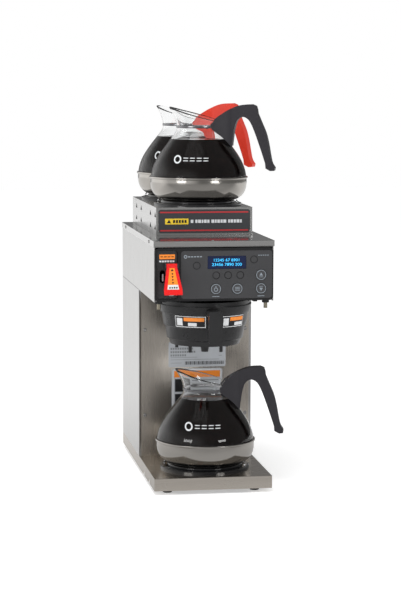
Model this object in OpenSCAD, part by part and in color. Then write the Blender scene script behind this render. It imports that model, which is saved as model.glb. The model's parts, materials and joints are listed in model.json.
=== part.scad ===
// Single-width automatic coffee brewer: stainless base, trunk and hood, a control console,
// a hot-water faucet, a slide-in brew funnel, one lower and two upper warmers, and three
// glass decanters.  X is to the right, Y to the back, Z up.  The origin is on the counter,
// at the middle of the base's footprint.

/* [Cabinet] */
// Width of the base and the trunk
body_w = 203; // [200:1:210]
// Depth from the front of the base to the back of the trunk
body_d = 450; // [445:1:460]
// Height from the counter to the top of the hood lid
hood_top = 431.5; // [430:0.5:436]
// Height of the hood, from its floor to the top of its lid
hood_h = 102.5; // [100:0.5:104]
// Distance from the front of the base to the front of the trunk
trunk_setback = 205; // [202:1:210]
// Height of the base pan
base_h = 21.6; // [20:0.1:24]
// Height of the feet under the base
foot_h = 7; // [6:0.5:9]
// Thickness of the stainless sheet
sheet = 1.2; // [1:0.1:1.5]

/* [Warmers] */
// Width of the upper warmer housing
housing_w = 169; // [166:1:175]
// Height of the upper warmer housing
housing_h = 48.5; // [46:0.5:52]
// Distance from the front of the base to the front of the upper warmer housing
housing_setback = 120; // [114:1:121]
// Radius of a warmer's outer ring
ring_r = 78; // [76:1:79]
// Radius of a warmer's raised plate
plate_r = 65.5; // [62:0.5:66]
// Height of a warmer's plate above the sheet that it stands on
warmer_h = 9; // [8:0.5:10]

/* [Decanters] */
// Height of the rolled seam between a decanter's steel bottom and its glass
seam_h = 40; // [38:1:42]
// Outer radius of the rolled seam
seam_r = 87; // [86:0.5:87.4]
// Radius of the glass just above the seam
bowl_r = 84.5; // [83:0.5:84.5]
// Radius of the throat
throat_r = 38.5; // [38:0.5:39]
// Turn of the lower decanter's handle, from straight right towards the front
lower_turn = 11; // [0:1:20]
// Turn of the upper front decanter's handle
front_turn = 18; // [0:1:30]
// Turn of the upper rear decanter's handle
rear_turn = 28; // [20:1:34]

/* [Brew funnel] */
// Radius of the funnel's rim
funnel_r = 80.5; // [79:0.5:81]
// Distance from the front of the base to the middle of the funnel and the lower decanter
bay_centre = 97; // [95:1:99]

/* [Console] */
// Width of the console
console_w = 201.6; // [200:0.2:202]
// Height of the console
console_h = 89.5; // [88:0.5:90]
// Diameter of a key
key_d = 18; // [16:0.5:19]

/* [Hidden] */
$fn = 64;

gap = 0.4;
front_y = -body_d / 2;
back_y = body_d / 2;
trunk_y = front_y + trunk_setback;
deck_z = foot_h + base_h;
hood_floor = hood_top - hood_h;
half_w = body_w / 2;

// Lid
lid_lip = 10;
lid_over = 1.2;

// Splash panel and its screws
panel_w = 195;
screw_x = 91;
screw_low = 102.5;
screw_high = 256.5;
screw_r = 2;

// Feet
foot_r = 8.8;
foot_x = 75.5;
foot_in = 27;
stem_r = 4;

// Console, with its front face just ahead of the hood's front edges
console_front = front_y - 2;
console_z = hood_floor + 1.5;
console_wall = 3;
console_deep = 16;
overlay_x = 21;
overlay_w = 155;
overlay_z = console_z + 4;
overlay_h = console_h - 9;
window_x = 21.3;
window_w = 66;
window_z = 395.3;
window_h = 22;
bay_x = -79.6;
bay_w = 35;
key_y = console_front - 1.4;
key_row = 350.7;
key_row_up = 373.6;
key_spots = [[79.6, key_row_up], [79.6, key_row], [39.1, key_row], [2.5, key_row]];
blank_spots = [[3.1, key_row_up], [23.2, key_row_up], [44, key_row_up], [67.4, 399.7], [-30.1, 390.3]];
key_long = 3.4;

// Hot-water faucet
faucet_x = -73.6;
// bail of the faucet's valve stem, and the slot that it moves in: [lower, upper] centres
bail_x = -87.6;
bail_slot = [366, 378.6];
bail_slot_r = 4.6;
lever_top = 391;
lever_bottom = 344;
lever_pivot_y = console_front - 7;
lever_lean = 24;
lever_thick = 3;
pivot_r = 1.9;

// Warmer places: [x, y, height of the sheet under the warmer]
upper_x = 2.5;
housing_y = front_y + housing_setback;
housing_d = back_y - housing_y - 1;
housing_top = hood_top + housing_h;
upper_front_y = front_y + 196;
upper_rear_y = front_y + 372;
warmer_spots = [
    [0, front_y + bay_centre, deck_z],
    [upper_x, upper_front_y, housing_top],
    [upper_x, upper_rear_y, housing_top]
];

// Brew funnel heights
rail_top = hood_floor;
wing_z = hood_floor - 8;
wing_x = 86.5;
funnel_floor = 247;
funnel_wall = 2.4;
funnel_y = front_y + bay_centre;

// Glass
glass_t = 2.4;
bowl_top = 80;
neck_h = 51;
lip_slope = 16.4;

// Hood pins
pin_x = 91.4;
pin_in = 18;

// Faucet lever
lever_half = 9;
ear = 1.8;
lever_long = (lever_top - lever_bottom) / cos(lever_lean);

// Tank, water inlet and cord gland
tank_x = 0;
tank_y = trunk_y + 122;
tank_w = 168;
tank_d = 190;
tank_low = 90;
tank_high = 300;
inlet_x = -60;
inlet_z = 62;
gland_x = 62;

// Places of the lid's fittings from the tank's middle: [x, y, radius]
tank_ports = [[-40, 20, 11], [25, 45, 3], [25, -45, 3], [0, -62, 5.7], [-55, -20, 4.1]];

// Master switch
rocker_x = 62;
rocker_z = 110;
rocker_w = 13;
rocker_h = 19;

// Outer line of the glass, from the seam to the throat, [radius, height over the base]
glass_line = concat(
    bezier([[bowl_r, seam_h], [82.5, seam_h + 28], [64, seam_h + 48], [42.5, seam_h + bowl_top - 4]], 14),
    [[40.2, seam_h + bowl_top], [39, seam_h + bowl_top + 3], [throat_r, seam_h + bowl_top + 6]]
);
neck_low = seam_h + bowl_top + 6;

// Middle of the handle: [out from the axis, height over the seam, half depth, half width]
handle_path = [
    [30, 92, 10, 13], [46, 103.5, 10.5, 13], [62, 111, 12, 12.5], [79, 116, 10.8, 11.5],
    [94, 113.5, 12.4, 11.5], [102, 98, 9.4, 11], [108, 84, 8.8, 10.5], [115.8, 60, 8.2, 10.5],
    [121.2, 40, 7, 10], [125.5, 25, 7, 10], [128.6, 15.5, 9.2, 10.5], [129.8, 11.5, 8, 9.5], [131, 8, 8, 9.5]
];

// ---------------------------------------------------------------- helpers

function bezier(p, n) = [
    for (i = [0:n])
        let (t = i / n, s = 1 - t)
            s * s * s * p[0] + 3 * s * s * t * p[1] + 3 * s * t * t * p[2] + t * t * t * p[3]
];

module place(x, y, z) {
    translate([x, y, z]) children();
}

// Box from its lowest corner's x, y, z to its highest corner's
module span(x0, x1, y0, y1, z0, z1) {
    translate([x0, y0, z0]) cube([x1 - x0, y1 - y0, z1 - z0]);
}

module tube(r_out, r_in, h) {
    difference() {
        cylinder(r = r_out, h = h);
        translate([0, 0, -1]) cylinder(r = r_in, h = h + 2);
    }
}

// Flat rectangle with round corners, about the origin
module round_rect(w, d, r) {
    union() {
        square([w - 2 * r, d], center = true);
        square([w, d - 2 * r], center = true);
        for (x = [-1, 1], y = [-1, 1])
            translate([x * (w / 2 - r), y * (d / 2 - r)]) circle(r = r);
    }
}

// Upright slab with round corners: w along X, h along Z, from y0 to y1, about x and z
module slab(x, z, w, h, r, y0, y1) {
    translate([x, y1, z]) rotate([90, 0, 0]) linear_extrude(y1 - y0) round_rect(w, h, r);
}

// Cylinder that points along +Y, from y0 to y1
module rod_y(x, z, r, y0, y1) {
    translate([x, y0, z]) rotate([-90, 0, 0]) cylinder(r = r, h = y1 - y0);
}

// Cylinder that points along +X, from x0 to x1
module rod_x(y, z, r, x0, x1) {
    translate([x0, y, z]) rotate([0, 90, 0]) cylinder(r = r, h = x1 - x0);
}

// ---------------------------------------------------------------- cabinet

module foot_spots() {
    for (x = [-foot_x, foot_x], y = [front_y + foot_in, back_y - foot_in])
        translate([x, y, 0]) children();
}

module base_pan() {
    slot_y = [front_y + 72, front_y + 141];
    gusset_w = 40;
    gusset_d = 44;
    color("silver") difference() {
        union() {
            difference() {
                span(-half_w, half_w, front_y, back_y, foot_h, deck_z);
                span(-half_w + sheet, half_w - sheet, front_y + sheet, back_y - sheet,
                     foot_h - 1, deck_z - sheet);
            }
            // corner gussets that take the feet
            for (x = [-1, 1], y = [-1, 1])
                span(x > 0 ? half_w - sheet - gusset_w : -half_w + sheet,
                     x > 0 ? half_w - sheet : -half_w + sheet + gusset_w,
                     y > 0 ? back_y - sheet - gusset_d : front_y + sheet,
                     y > 0 ? back_y - sheet : front_y + sheet + gusset_d,
                     foot_h, foot_h + 2);
        }
        foot_spots() cylinder(r = stem_r + 0.2, h = deck_z - 2 * sheet);
        for (y = slot_y)
            span(-half_w - 1, half_w + 1, y - 9, y + 9, foot_h - 1, foot_h + 6);
    }
}

module feet() {
    color("dimgray") foot_spots() {
        cylinder(r1 = foot_r - 1, r2 = foot_r, h = foot_h);
        cylinder(r = stem_r, h = foot_h + 9);
    }
}

module trunk_wrap() {
    flange = 14;
    inside = half_w - sheet;
    color("gainsboro") difference() {
        union() {
            for (s = [-1, 1]) {
                span(s > 0 ? inside : -half_w, s > 0 ? half_w : -inside, trunk_y, back_y, deck_z, hood_floor);
                span(s > 0 ? inside - flange : -inside, s > 0 ? inside : flange - inside,
                     trunk_y + sheet, trunk_y + 2 * sheet, deck_z, hood_floor);
            }
            span(-inside, inside, back_y - sheet, back_y, deck_z, hood_floor);
        }
        for (x = [-screw_x, screw_x], z = [screw_low, screw_high])
            rod_y(x, z, screw_r + 0.2, trunk_y, trunk_y + 4);
        rod_y(inlet_x, inlet_z, 8.2, back_y - 3, back_y + 1);
        rod_y(gland_x, inlet_z, 10.2, back_y - 3, back_y + 1);
        slab(rocker_x, rocker_z, rocker_w + 2.6, rocker_h + 2.6, 1, back_y - 3, back_y + 1);
    }
}

module splash_panel() {
    color("silver") difference() {
        span(-panel_w / 2, panel_w / 2, trunk_y, trunk_y + sheet, deck_z, hood_floor);
        for (x = [-screw_x, screw_x], z = [screw_low, screw_high])
            rod_y(x, z, screw_r + 0.2, trunk_y - 1, trunk_y + 3);
    }
}

module splash_screws() {
    color("lightgray") for (x = [-screw_x, screw_x], z = [screw_low, screw_high])
        translate([x, trunk_y, z]) rotate([90, 0, 0]) {
            difference() {
                cylinder(r1 = 3.6, r2 = 2.6, h = 1.8);
                for (a = [0, 90])
                    rotate([0, 0, a]) translate([-2, -0.35, 1]) cube([4, 0.7, 2]);
            }
            translate([0, 0, -8]) cylinder(r = screw_r, h = 8);
        }
}

// Rating plate above, and a larger pictorial caution plate below it
module splash_labels() {
    thick = 0.4;
    color("white") {
        slab(3.5, 211, 103.5, 45.5, 3, trunk_y - thick, trunk_y);
        slab(3.5, 145.5, 92, 80, 4, trunk_y - thick, trunk_y);
    }
}

// ---------------------------------------------------------------- hood

module hood_shell() {
    inside = half_w - sheet;
    top = hood_top - sheet;
    floor_top = hood_floor + sheet;
    color("gainsboro") difference() {
        union() {
            for (s = [-1, 1])
                span(s > 0 ? inside : -half_w, s > 0 ? half_w : -inside,
                     front_y + 1, back_y, hood_floor, top);
            span(-inside, inside, back_y - sheet, back_y, hood_floor, top);
            span(-inside, inside, front_y + 14.5, trunk_y + 14, hood_floor, floor_top);
        }
        place(0, funnel_y, hood_floor - 1) cylinder(r = 6.4, h = 4);
        for (x = [-pin_x, pin_x])
            place(x, front_y + pin_in, hood_floor - 1) cylinder(r = 2.7, h = 4);
    }
}

module hood_lid() {
    out_x = half_w + lid_over;
    in_x = half_w + 0.1;
    y0 = front_y - lid_over;
    y1 = back_y + lid_over;
    low = hood_top - lid_lip;
    color("whitesmoke") {
        difference() {
            span(-out_x, out_x, y0, y1, low, hood_top);
            span(-in_x, in_x, front_y - 0.1, back_y + 0.1, low - 1, hood_top - sheet);
            place(upper_x, upper_front_y, hood_top - 3) cylinder(r = 14, h = 5);
        }
        // locating nib in the middle of the front edge
        span(-4.2, -0.4, y0 + 0.4, y0 + 2.4, hood_top - 0.2, hood_top + 1.4);
    }
}

module hood_screws() {
    color("lightgray") for (s = [-1, 1], y = [front_y + 60, back_y - 60])
        translate([s * (half_w + lid_over), y, hood_top - 5]) rotate([0, 90 * s, 0])
            cylinder(r1 = 3.2, r2 = 2.2, h = 1.4);
}

module pin_grommets() {
    color("black") for (x = [-pin_x, pin_x])
        place(x, front_y + pin_in, hood_floor - 4.4) tube(6, 2.7, 4.4);
}

module hood_pins() {
    color("darkgray") for (x = [-pin_x, pin_x])
        place(x, front_y + pin_in, hood_floor - 14) {
            cylinder(r = 3.2, h = 9.6);
            cylinder(r = 2.6, h = 17.5);
        }
}

module funnel_rails() {
    y0 = front_y + 82;
    y1 = trunk_y - 14;
    color("dimgray") for (s = [-1, 1]) mirror([s > 0 ? 0 : 1, 0, 0]) {
        span(wing_x + 1, wing_x + 3, y0, y1, wing_z - 2.4, rail_top);
        span(wing_x - 4, wing_x + 1, y0, y1, wing_z - 2.4, wing_z - 0.4);
    }
}

// ---------------------------------------------------------------- console

module console() {
    mid_z = console_z + console_h / 2;
    color([0.13, 0.13, 0.14]) difference() {
        union() {
            slab(0, mid_z, console_w, console_h, 7, console_front, front_y + 0.9);
            slab(0, mid_z, body_w - 2 * sheet - 0.4, console_h, 7,
                 front_y + 0.9, console_front + console_deep);
        }
        // hollow behind the face
        span(overlay_x - overlay_w / 2 - 3, console_w / 2 - console_wall,
             console_front + console_wall, console_front + console_deep + 1,
             console_z + console_wall, console_z + console_h - console_wall);
        // bay for the hot-water faucet, open in front
        slab(bay_x, mid_z, bay_w, console_h - 8, 4, console_front - 1, console_front + 5);
        rod_y(faucet_x, 372, 7.2, console_front, console_front + console_deep + 1);
        for (z = bail_slot)
            rod_y(bail_x, z, bail_slot_r, console_front, console_front + console_deep + 1);
        span(bail_x - bail_slot_r, bail_x + bail_slot_r, console_front, console_front + console_deep + 1,
             bail_slot[0], bail_slot[1]);
        // window and keys
        slab(window_x, window_z, window_w, window_h, 1, console_front - 1, console_front + 4);
        for (p = key_spots)
            rod_y(p[0], p[1], key_d / 2 + gap, console_front - 1, console_front + 4);
    }
}

module touch_overlay() {
    mid_z = overlay_z + overlay_h / 2;
    color([0.2, 0.2, 0.22]) difference() {
        slab(overlay_x, mid_z, overlay_w, overlay_h, 5, console_front - 0.6, console_front);
        slab(window_x, window_z, window_w, window_h, 1, console_front - 2, console_front + 1);
        for (p = key_spots)
            rod_y(p[0], p[1], key_d / 2 + gap, console_front - 2, console_front + 1);
        // shallow rings of the blank membrane positions
        for (p = blank_spots)
            translate([p[0], console_front - 0.3, p[1]]) rotate([90, 0, 0]) tube(6.2, 5.5, 2);
    }
}

module key(spot) {
    color([0.3, 0.31, 0.33]) {
        rod_y(spot[0], spot[1], key_d / 2, key_y, key_y + key_long);
        rod_y(spot[0], spot[1], 3, key_y + key_long, key_y + key_long + 3);
    }
}

module key_up() {
    key(key_spots[0]);
}

module key_down() {
    key(key_spots[1]);
}

module key_set() {
    key(key_spots[2]);
}

module key_brew() {
    key(key_spots[3]);
}

module display() {
    color([0.05, 0.16, 0.4]) {
        slab(window_x, window_z, window_w - 0.4, window_h - 0.4, 0.8,
             console_front + 0.6, console_front + 3.1);
        slab(window_x, window_z, window_w + 14, window_h + 8, 1, console_front + 3.1, console_front + 8);
    }
}

module circuit_board() {
    y0 = console_front + 9.6;
    color("darkgreen") {
        slab(overlay_x, console_z + console_h / 2, 148, 76, 2, y0, y0 + 1.6);
        for (x = [-30, 0, 30, 62])
            slab(x, console_z + 24, 16, 12, 1, y0 + 1.6, y0 + 9);
    }
}

module power_module() {
    y0 = front_y + 60;
    color("darkslategray") {
        span(40, 95, y0, y0 + 70, hood_floor + sheet, hood_floor + sheet + 3);
        span(46, 88, y0 + 10, y0 + 60, hood_floor + sheet + 3, hood_floor + 42);
    }
}

// ---------------------------------------------------------------- hot-water faucet

module faucet_surround() {
    mid_z = console_z + console_h / 2;
    y1 = console_front + 5;
    color([0.08, 0.08, 0.09]) difference() {
        slab(bay_x, mid_z, bay_w - 1, console_h - 9, 3.5, y1 - 2, y1);
        rod_y(faucet_x, 372, 7.2, y1 - 4, y1 + 4);
        hull() {
            for (z = bail_slot)
                rod_y(bail_x, z, bail_slot_r, y1 - 4, y1 + 4);
        }
    }
}

module faucet_body() {
    y_spout = console_front - 6;
    color("silver") {
        // valve body, from behind the console to the spout
        rod_y(faucet_x, 372, 6.8, y_spout, console_front + 34);
        place(faucet_x, y_spout, 341) tube(4.6, 3.2, 31);
        // ears with the lever's pin
        for (s = [-1, 1])
            span(faucet_x + s * (lever_half + gap + ear / 2) - ear / 2,
                 faucet_x + s * (lever_half + gap + ear / 2) + ear / 2,
                 lever_pivot_y - 4, console_front + 3, lever_top - 4, lever_top + 4);
        rod_x(lever_pivot_y, lever_top, pivot_r,
              faucet_x - lever_half - gap - ear, faucet_x + lever_half + gap + ear);
        // bail of the valve's stem, which shows in the oval slot
        rod_y(bail_x, 367, 1.6, console_front - 3, console_front + 20);
        place(bail_x, console_front - 3, 365.4) cylinder(r = 1.6, h = 12);
    }
}

module on_lever() {
    translate([faucet_x, lever_pivot_y, lever_top]) rotate([-lever_lean, 0, 0])
        translate([0, -0.6, 0]) rotate([90, 0, 0]) children();
}

module faucet_lever() {
    foot = 15.4;
    outline = [
        [0.4 - lever_half, -3], [lever_half - 0.4, -3],
        [foot, 9 - lever_long], [foot, -lever_long], [-foot, -lever_long], [-foot, 9 - lever_long]
    ];
    color("red") difference() {
        union() {
            rod_x(lever_pivot_y, lever_top, 4, faucet_x - lever_half, faucet_x + lever_half);
            on_lever() linear_extrude(lever_thick) polygon(outline);
        }
        rod_x(lever_pivot_y, lever_top, pivot_r + 0.05,
              faucet_x - lever_half - 1, faucet_x + lever_half + 1);
    }
}

// Two-tone sticker on the lever: a tapered field, with a plain strip below it
module lever_label() {
    low = 9 - lever_long;
    color("orange") on_lever() translate([0, 0, lever_thick]) linear_extrude(0.3)
        polygon([[-4, -5], [4, -5], [10, low], [-10, low]]);
}

// ---------------------------------------------------------------- water system

module spray_head() {
    color("silver") place(0, funnel_y, hood_floor - 3.6) difference() {
        union() {
            cylinder(r = 30, h = 1.6);
            cylinder(r = 10, h = 3.4);
        }
        for (ring = [10, 18, 25], a = [0:60:359])
            rotate([0, 0, a + ring]) translate([ring == 10 ? 14 : ring, 0, -1]) cylinder(r = 1, h = 4);
    }
}

// Quarter bend of a tube, from straight up at the origin towards +Y
module tube_bend(bend, r_out, r_in) {
    translate([0, bend, 0]) rotate([0, -90, 0]) rotate([0, 0, 180]) mirror([1, 0, 0])
        rotate_extrude(angle = 90) translate([bend, 0]) difference() {
            circle(r = r_out);
            circle(r = r_in);
        }
}

module spray_tube() {
    bend = 16;
    top = hood_floor + 46;
    rear_y = tank_y + tank_ports[3][1];
    r_out = 5.6;
    r_in = 4;
    front_low = hood_floor - 0.2;
    color("white") {
        place(0, funnel_y, front_low) tube(r_out, r_in, top - front_low - bend);
        place(0, funnel_y, top - bend) tube_bend(bend, r_out, r_in);
        place(0, funnel_y + bend, top) rotate([-90, 0, 0]) tube(r_out, r_in, rear_y - funnel_y - 2 * bend);
        place(0, rear_y, top - bend) mirror([0, 1, 0]) tube_bend(bend, r_out, r_in);
        place(0, rear_y, tank_high + 1) tube(r_out, r_in, top - bend - tank_high - 1);
    }
}

module tank_outline(inset) {
    round_rect(tank_w - 2 * inset, tank_d - 2 * inset, 24 - inset);
}

module tank() {
    color("lightsteelblue") place(tank_x, tank_y, tank_low) difference() {
        union() {
            linear_extrude(tank_high - tank_low) tank_outline(0);
            for (x = [-50, 50], y = [-50, 50])
                translate([x, y, deck_z - tank_low]) cylinder(r = 6, h = tank_low - deck_z + 0.5);
        }
        translate([0, 0, sheet]) linear_extrude(tank_high) tank_outline(sheet);
    }
}

module tank_lid() {
    color("gray") place(tank_x, tank_y, tank_high) difference() {
        union() {
            linear_extrude(3) round_rect(tank_w + 8, tank_d + 8, 26);
            translate([0, 0, 3]) linear_extrude(4) tank_outline(20);
        }
        for (p = tank_ports)
            translate([p[0], p[1], -1]) cylinder(r = p[2] + 0.1, h = 12);
    }
}

module tank_heater() {
    port = tank_ports[0];
    color("darkorange") place(tank_x + port[0], tank_y + port[1], 0) {
        place(0, 0, tank_high - 6) cylinder(r = port[2], h = 24);
        for (x = [-6, 6])
            place(x, 0, tank_low + 30) cylinder(r = 4, h = tank_high - tank_low - 36);
        place(0, 0, tank_low + 30) rotate([90, 0, 0])
            rotate([0, 0, 180]) rotate_extrude(angle = 180) translate([6, 0]) circle(r = 4);
    }
}

module tank_probes() {
    color("gold") for (i = [1, 2]) place(tank_x + tank_ports[i][0], tank_y + tank_ports[i][1], 0) {
        place(0, 0, tank_high - 60 * i) cylinder(r = 2.9, h = 60 * i + 14);
        place(0, 0, tank_high + 7) cylinder(r = 6, h = 6);
    }
}

module limit_thermostat() {
    color("ivory") place(tank_x + 45, tank_y, tank_high + 7) {
        cylinder(r = 8, h = 7);
        translate([-3, -1, 7]) cube([1, 2, 7]);
        translate([2, -1, 7]) cube([1, 2, 7]);
    }
}

module inlet_valve() {
    color("seagreen") {
        span(inlet_x - 14, inlet_x + 14, back_y - 62, back_y - 30, inlet_z - 12, inlet_z + 12);
        place(inlet_x, back_y - 46, inlet_z + 12) cylinder(r = 13, h = 14);
        span(inlet_x - 8, inlet_x + 8, back_y - 54, back_y - 38, deck_z, inlet_z - 12);
    }
}

// Male flare fitting for the cold-water line
module inlet_fitting() {
    color("goldenrod") {
        rod_y(inlet_x, inlet_z, 5, back_y - 30, back_y + 4);
        rod_y(inlet_x, inlet_z, 8, back_y - 2.5, back_y + 4);
        rod_y(inlet_x, inlet_z, 5.55, back_y + 4, back_y + 13);
        translate([inlet_x, back_y + 13, inlet_z]) rotate([-90, 0, 0]) cylinder(r1 = 5.55, r2 = 3.2, h = 2.4);
    }
}

// Hose from the valve, up the tank's side and over to the tank lid, with elbow fittings
module inlet_hose() {
    hose = 4;
    elbow = 5.2;
    high = tank_high + 24;
    port = tank_ports[4];
    x0 = inlet_x - 14;
    x1 = -half_w + sheet + 7;
    x2 = tank_x + port[0];
    y0 = back_y - 46;
    y1 = tank_y + port[1];
    color("lightyellow") {
        rod_x(y0, inlet_z, hose, x1, x0);
        place(x1, y0, inlet_z) cylinder(r = hose, h = high - inlet_z);
        rod_y(x1, high, hose, y1, y0);
        rod_x(y1, high, hose, x1, x2);
        place(x2, y1, tank_high + 2) cylinder(r = hose, h = high - tank_high - 2);
        for (corner = [[x1, y0, inlet_z], [x1, y0, high], [x1, y1, high], [x2, y1, high]])
            translate(corner) sphere(r = elbow);
    }
}

// Bushing that a supply cord would come through
module cord_gland() {
    color("black") translate([gland_x, back_y - 8, inlet_z]) rotate([-90, 0, 0]) difference() {
        union() {
            cylinder(r = 10, h = 8);
            translate([0, 0, 8]) cylinder(r = 13, h = 4);
            translate([0, 0, 4]) cylinder(r = 12.5, h = 2.6);
        }
        translate([0, 0, -1]) cylinder(r = 5.5, h = 15);
    }
}

module power_rocker() {
    color("black") translate([rocker_x, back_y - 1, rocker_z]) difference() {
        rotate([0, 90, 0]) translate([0, 0, -rocker_w / 2]) linear_extrude(rocker_w)
            polygon([[-8.5, 0.5], [-8.5, 3.8], [0, 2.2], [8.5, 1.6], [8.5, -1.6], [3, -6], [-3, -6]]);
        translate([-rocker_w / 2 - 1, -1.5, 0]) rotate([0, 90, 0]) cylinder(r = 1.05, h = rocker_w + 2);
    }
}

// Snap-in frame of the master switch, with the rocker's two pivot stubs
module rocker_frame() {
    wall = 0.9;
    color("black") difference() {
        union() {
            slab(rocker_x, rocker_z, rocker_w + 2.4, rocker_h + 2.4, 0.8, back_y - 16, back_y);
            slab(rocker_x, rocker_z, rocker_w + 6, rocker_h + 6, 1, back_y, back_y + 1);
        }
        slab(rocker_x, rocker_z, rocker_w + 2.4 - 2 * wall, rocker_h + 2.4 - 2 * wall, 0.5,
             back_y - 15, back_y + 2);
    }
    color("black") for (s = [-1, 1])
        rod_x(back_y - 2.5, rocker_z, 1, rocker_x + s * (rocker_w / 2 - 1.25) - 1.75,
              rocker_x + s * (rocker_w / 2 - 1.25) + 1.75);
}

// ---------------------------------------------------------------- warmers

module at_warmers() {
    for (p = warmer_spots) translate(p) children();
}

module warmer_rings() {
    hole = plate_r + 1;
    color([0.1, 0.1, 0.11]) at_warmers() rotate_extrude() polygon([
        [hole, 0], [ring_r, 0], [ring_r, 3], [ring_r - 1, 4.2], [ring_r - 3, 4.8],
        [hole + 3, 4.2], [hole, 3]
    ]);
}

module warmer_plates() {
    top = warmer_h;
    color([0.12, 0.12, 0.13]) at_warmers() rotate_extrude() polygon([
        [0, top], [plate_r - 2, top], [plate_r - 0.6, top - 0.6], [plate_r, top - 2],
        [plate_r, 0], [plate_r - 1.4, 0], [plate_r - 1.4, top - 1.8], [0, top - 1.8]
    ]);
}

module warmer_elements() {
    wire = 3;
    color("sienna") at_warmers() {
        translate([0, 0, 3.4]) rotate_extrude() translate([46, 0]) circle(r = wire);
        translate([0, 0, 3.4]) rotate_extrude() translate([26, 0]) circle(r = wire);
        translate([26, -5, 0.6]) cube([20, 10, 5.2]);
    }
}

module warmer_housing() {
    x0 = upper_x - housing_w / 2;
    x1 = upper_x + housing_w / 2;
    y1 = housing_y + housing_d;
    frame = 4;
    vent_y = [front_y + 133, front_y + 195, front_y + 324, front_y + 390];
    vent_z = [hood_top + 10.5, hood_top + 32];
    color("whitesmoke") difference() {
        span(x0, x1, housing_y, y1, hood_top, housing_top);
        span(x0 + sheet, x1 - sheet, housing_y + sheet, y1 - sheet, hood_top - 1, housing_top - sheet);
        for (y = vent_y, z = vent_z)
            translate([x0 - 1, y, z]) rotate([90, 0, 90]) linear_extrude(housing_w + 2)
                polygon([[-9.5, -0.5], [9.5, -0.5], [0, 8.5]]);
        slab(upper_x, hood_top + housing_h / 2, housing_w - 2 * frame, housing_h - 2 * frame, 4,
             housing_y - 1, housing_y + 2);
    }
}

// Caution strip in the front of the housing, without lettering
module housing_decal() {
    frame = 4;
    color([0.25, 0.26, 0.28])
        slab(upper_x, hood_top + housing_h / 2,
             housing_w - 2 * frame - 0.2, housing_h - 2 * frame - 0.2, 3.9,
             housing_y + 0.4, housing_y + 1.6);
}

// ---------------------------------------------------------------- brew funnel

// Outline of the funnel's stepped outer wall, [radius, height]
function funnel_wall_line(inset) = [
    [60 - inset, funnel_floor], [62.5 - inset, 255.5], [66 - inset, 257.8], [69 - inset, 278.2],
    [71.8 - inset, 280.8], [75 - inset, 302], [77.3 - inset, 303], [funnel_r - inset, 315.5],
    [funnel_r - inset, 316.6]
];

module funnel() {
    handle_x = 1.3;
    grip_w = 23.6;
    grip_y = front_y - 13;
    grip_low = 257.5;
    grip_top = 313;
    outer = funnel_wall_line(0);
    inner = funnel_wall_line(funnel_wall);
    color([0.11, 0.11, 0.12]) difference() {
        union() {
            place(0, funnel_y, 0) {
                rotate_extrude($fn = 96)
                    polygon(concat([[0, funnel_floor]], outer, [[0, 316.6]]));
                // collar that carries the side wings
                place(0, 0, 316) cylinder(r = 77.5, h = wing_z + 3 - 316);
                span(-wing_x, wing_x, -12, 76, wing_z, wing_z + 3);
                cylinder_at_outlet();
                for (p = [[-30.7, -32], [23.1, -32], [-44.3, 34], [44.3, 34]])
                    place(p[0], p[1], 234.5) cylinder(r = 3, h = funnel_floor + 1 - 234.5);
            }
            // front handle, a hook that hangs from the rim
            hull() {
                slab(handle_x, grip_top - 5.5, grip_w, 11, 3, grip_y, grip_y + 4);
                slab(handle_x, grip_top - 5.5, grip_w + 2, 11, 3, front_y + 24, front_y + 28);
            }
            slab(handle_x, (grip_low + grip_top) / 2, grip_w, grip_top - grip_low, 4, grip_y, grip_y + 9);
        }
        place(0, funnel_y, 0) {
            rotate_extrude($fn = 96)
                polygon(concat([[0, funnel_floor + 3]], [[58, funnel_floor + 3]],
                               [for (i = [1:len(inner) - 2]) inner[i]], [[75, 317], [75, 330], [0, 330]]));
            place(0, 0, 228) cylinder(r = 3.6, h = 30);
        }
    }
}

module cylinder_at_outlet() {
    place(0, 0, 231) cylinder(r1 = 6, r2 = 9, h = funnel_floor + 1 - 231);
}

// Wire rack that keeps the paper filter off the funnel's floor
module funnel_rack() {
    wire = 1.2;
    bar = 2;
    low = funnel_floor + 3;
    color("lightgray") place(0, funnel_y, low) {
        for (r = [16, 34, 52])
            tube(r + wire, r - wire, 2);
        for (a = [0:45:359])
            rotate([0, 0, a]) translate([16, -bar / 2, 1]) cube([37, bar, 2.2]);
    }
}

// Two curved caution labels, left and right of the handle
module funnel_labels() {
    thick = 0.35;
    low = 281.4;
    high = 300.6;
    r_low = 72.05;
    r_high = 74.97;
    color("white") place(0, funnel_y, 0) for (a = [[218, 262], [284, 322]])
        rotate([0, 0, a[0]]) rotate_extrude(angle = a[1] - a[0], $fn = 96)
            polygon([[r_low, low], [r_low + thick, low], [r_high + thick, high], [r_high, high]]);
}

// ---------------------------------------------------------------- decanters

module glass_solid(inset, stretch) {
    n = len(glass_line);
    // bowl and throat, down to the seam
    rotate_extrude($fn = 96) polygon(concat(
        [[0, seam_h - stretch]], [[bowl_r - inset, seam_h - stretch]],
        [for (p = glass_line) [p[0] - inset, p[1]]],
        [[throat_r - inset, neck_low + 6], [throat_r + 2.5 - inset, seam_h + bowl_top + neck_h]],
        [[0, seam_h + bowl_top + neck_h]]
    ));
    // spout, which leans away from the handle
    translate([-12, 0, seam_h + bowl_top]) rotate([0, -22, 0])
        cylinder(r1 = 20 - inset, r2 = 23 - inset, h = neck_h + 10);
}

module bowl() {
    lip_x = 38;
    lip_z = seam_h + 97;
    difference() {
        glass_solid(0, 0);
        glass_solid(glass_t, 1);
        translate([lip_x, 0, lip_z]) rotate([0, lip_slope, 0])
            translate([-150, -100, 0]) cube([250, 200, 80]);
    }
}

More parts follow.
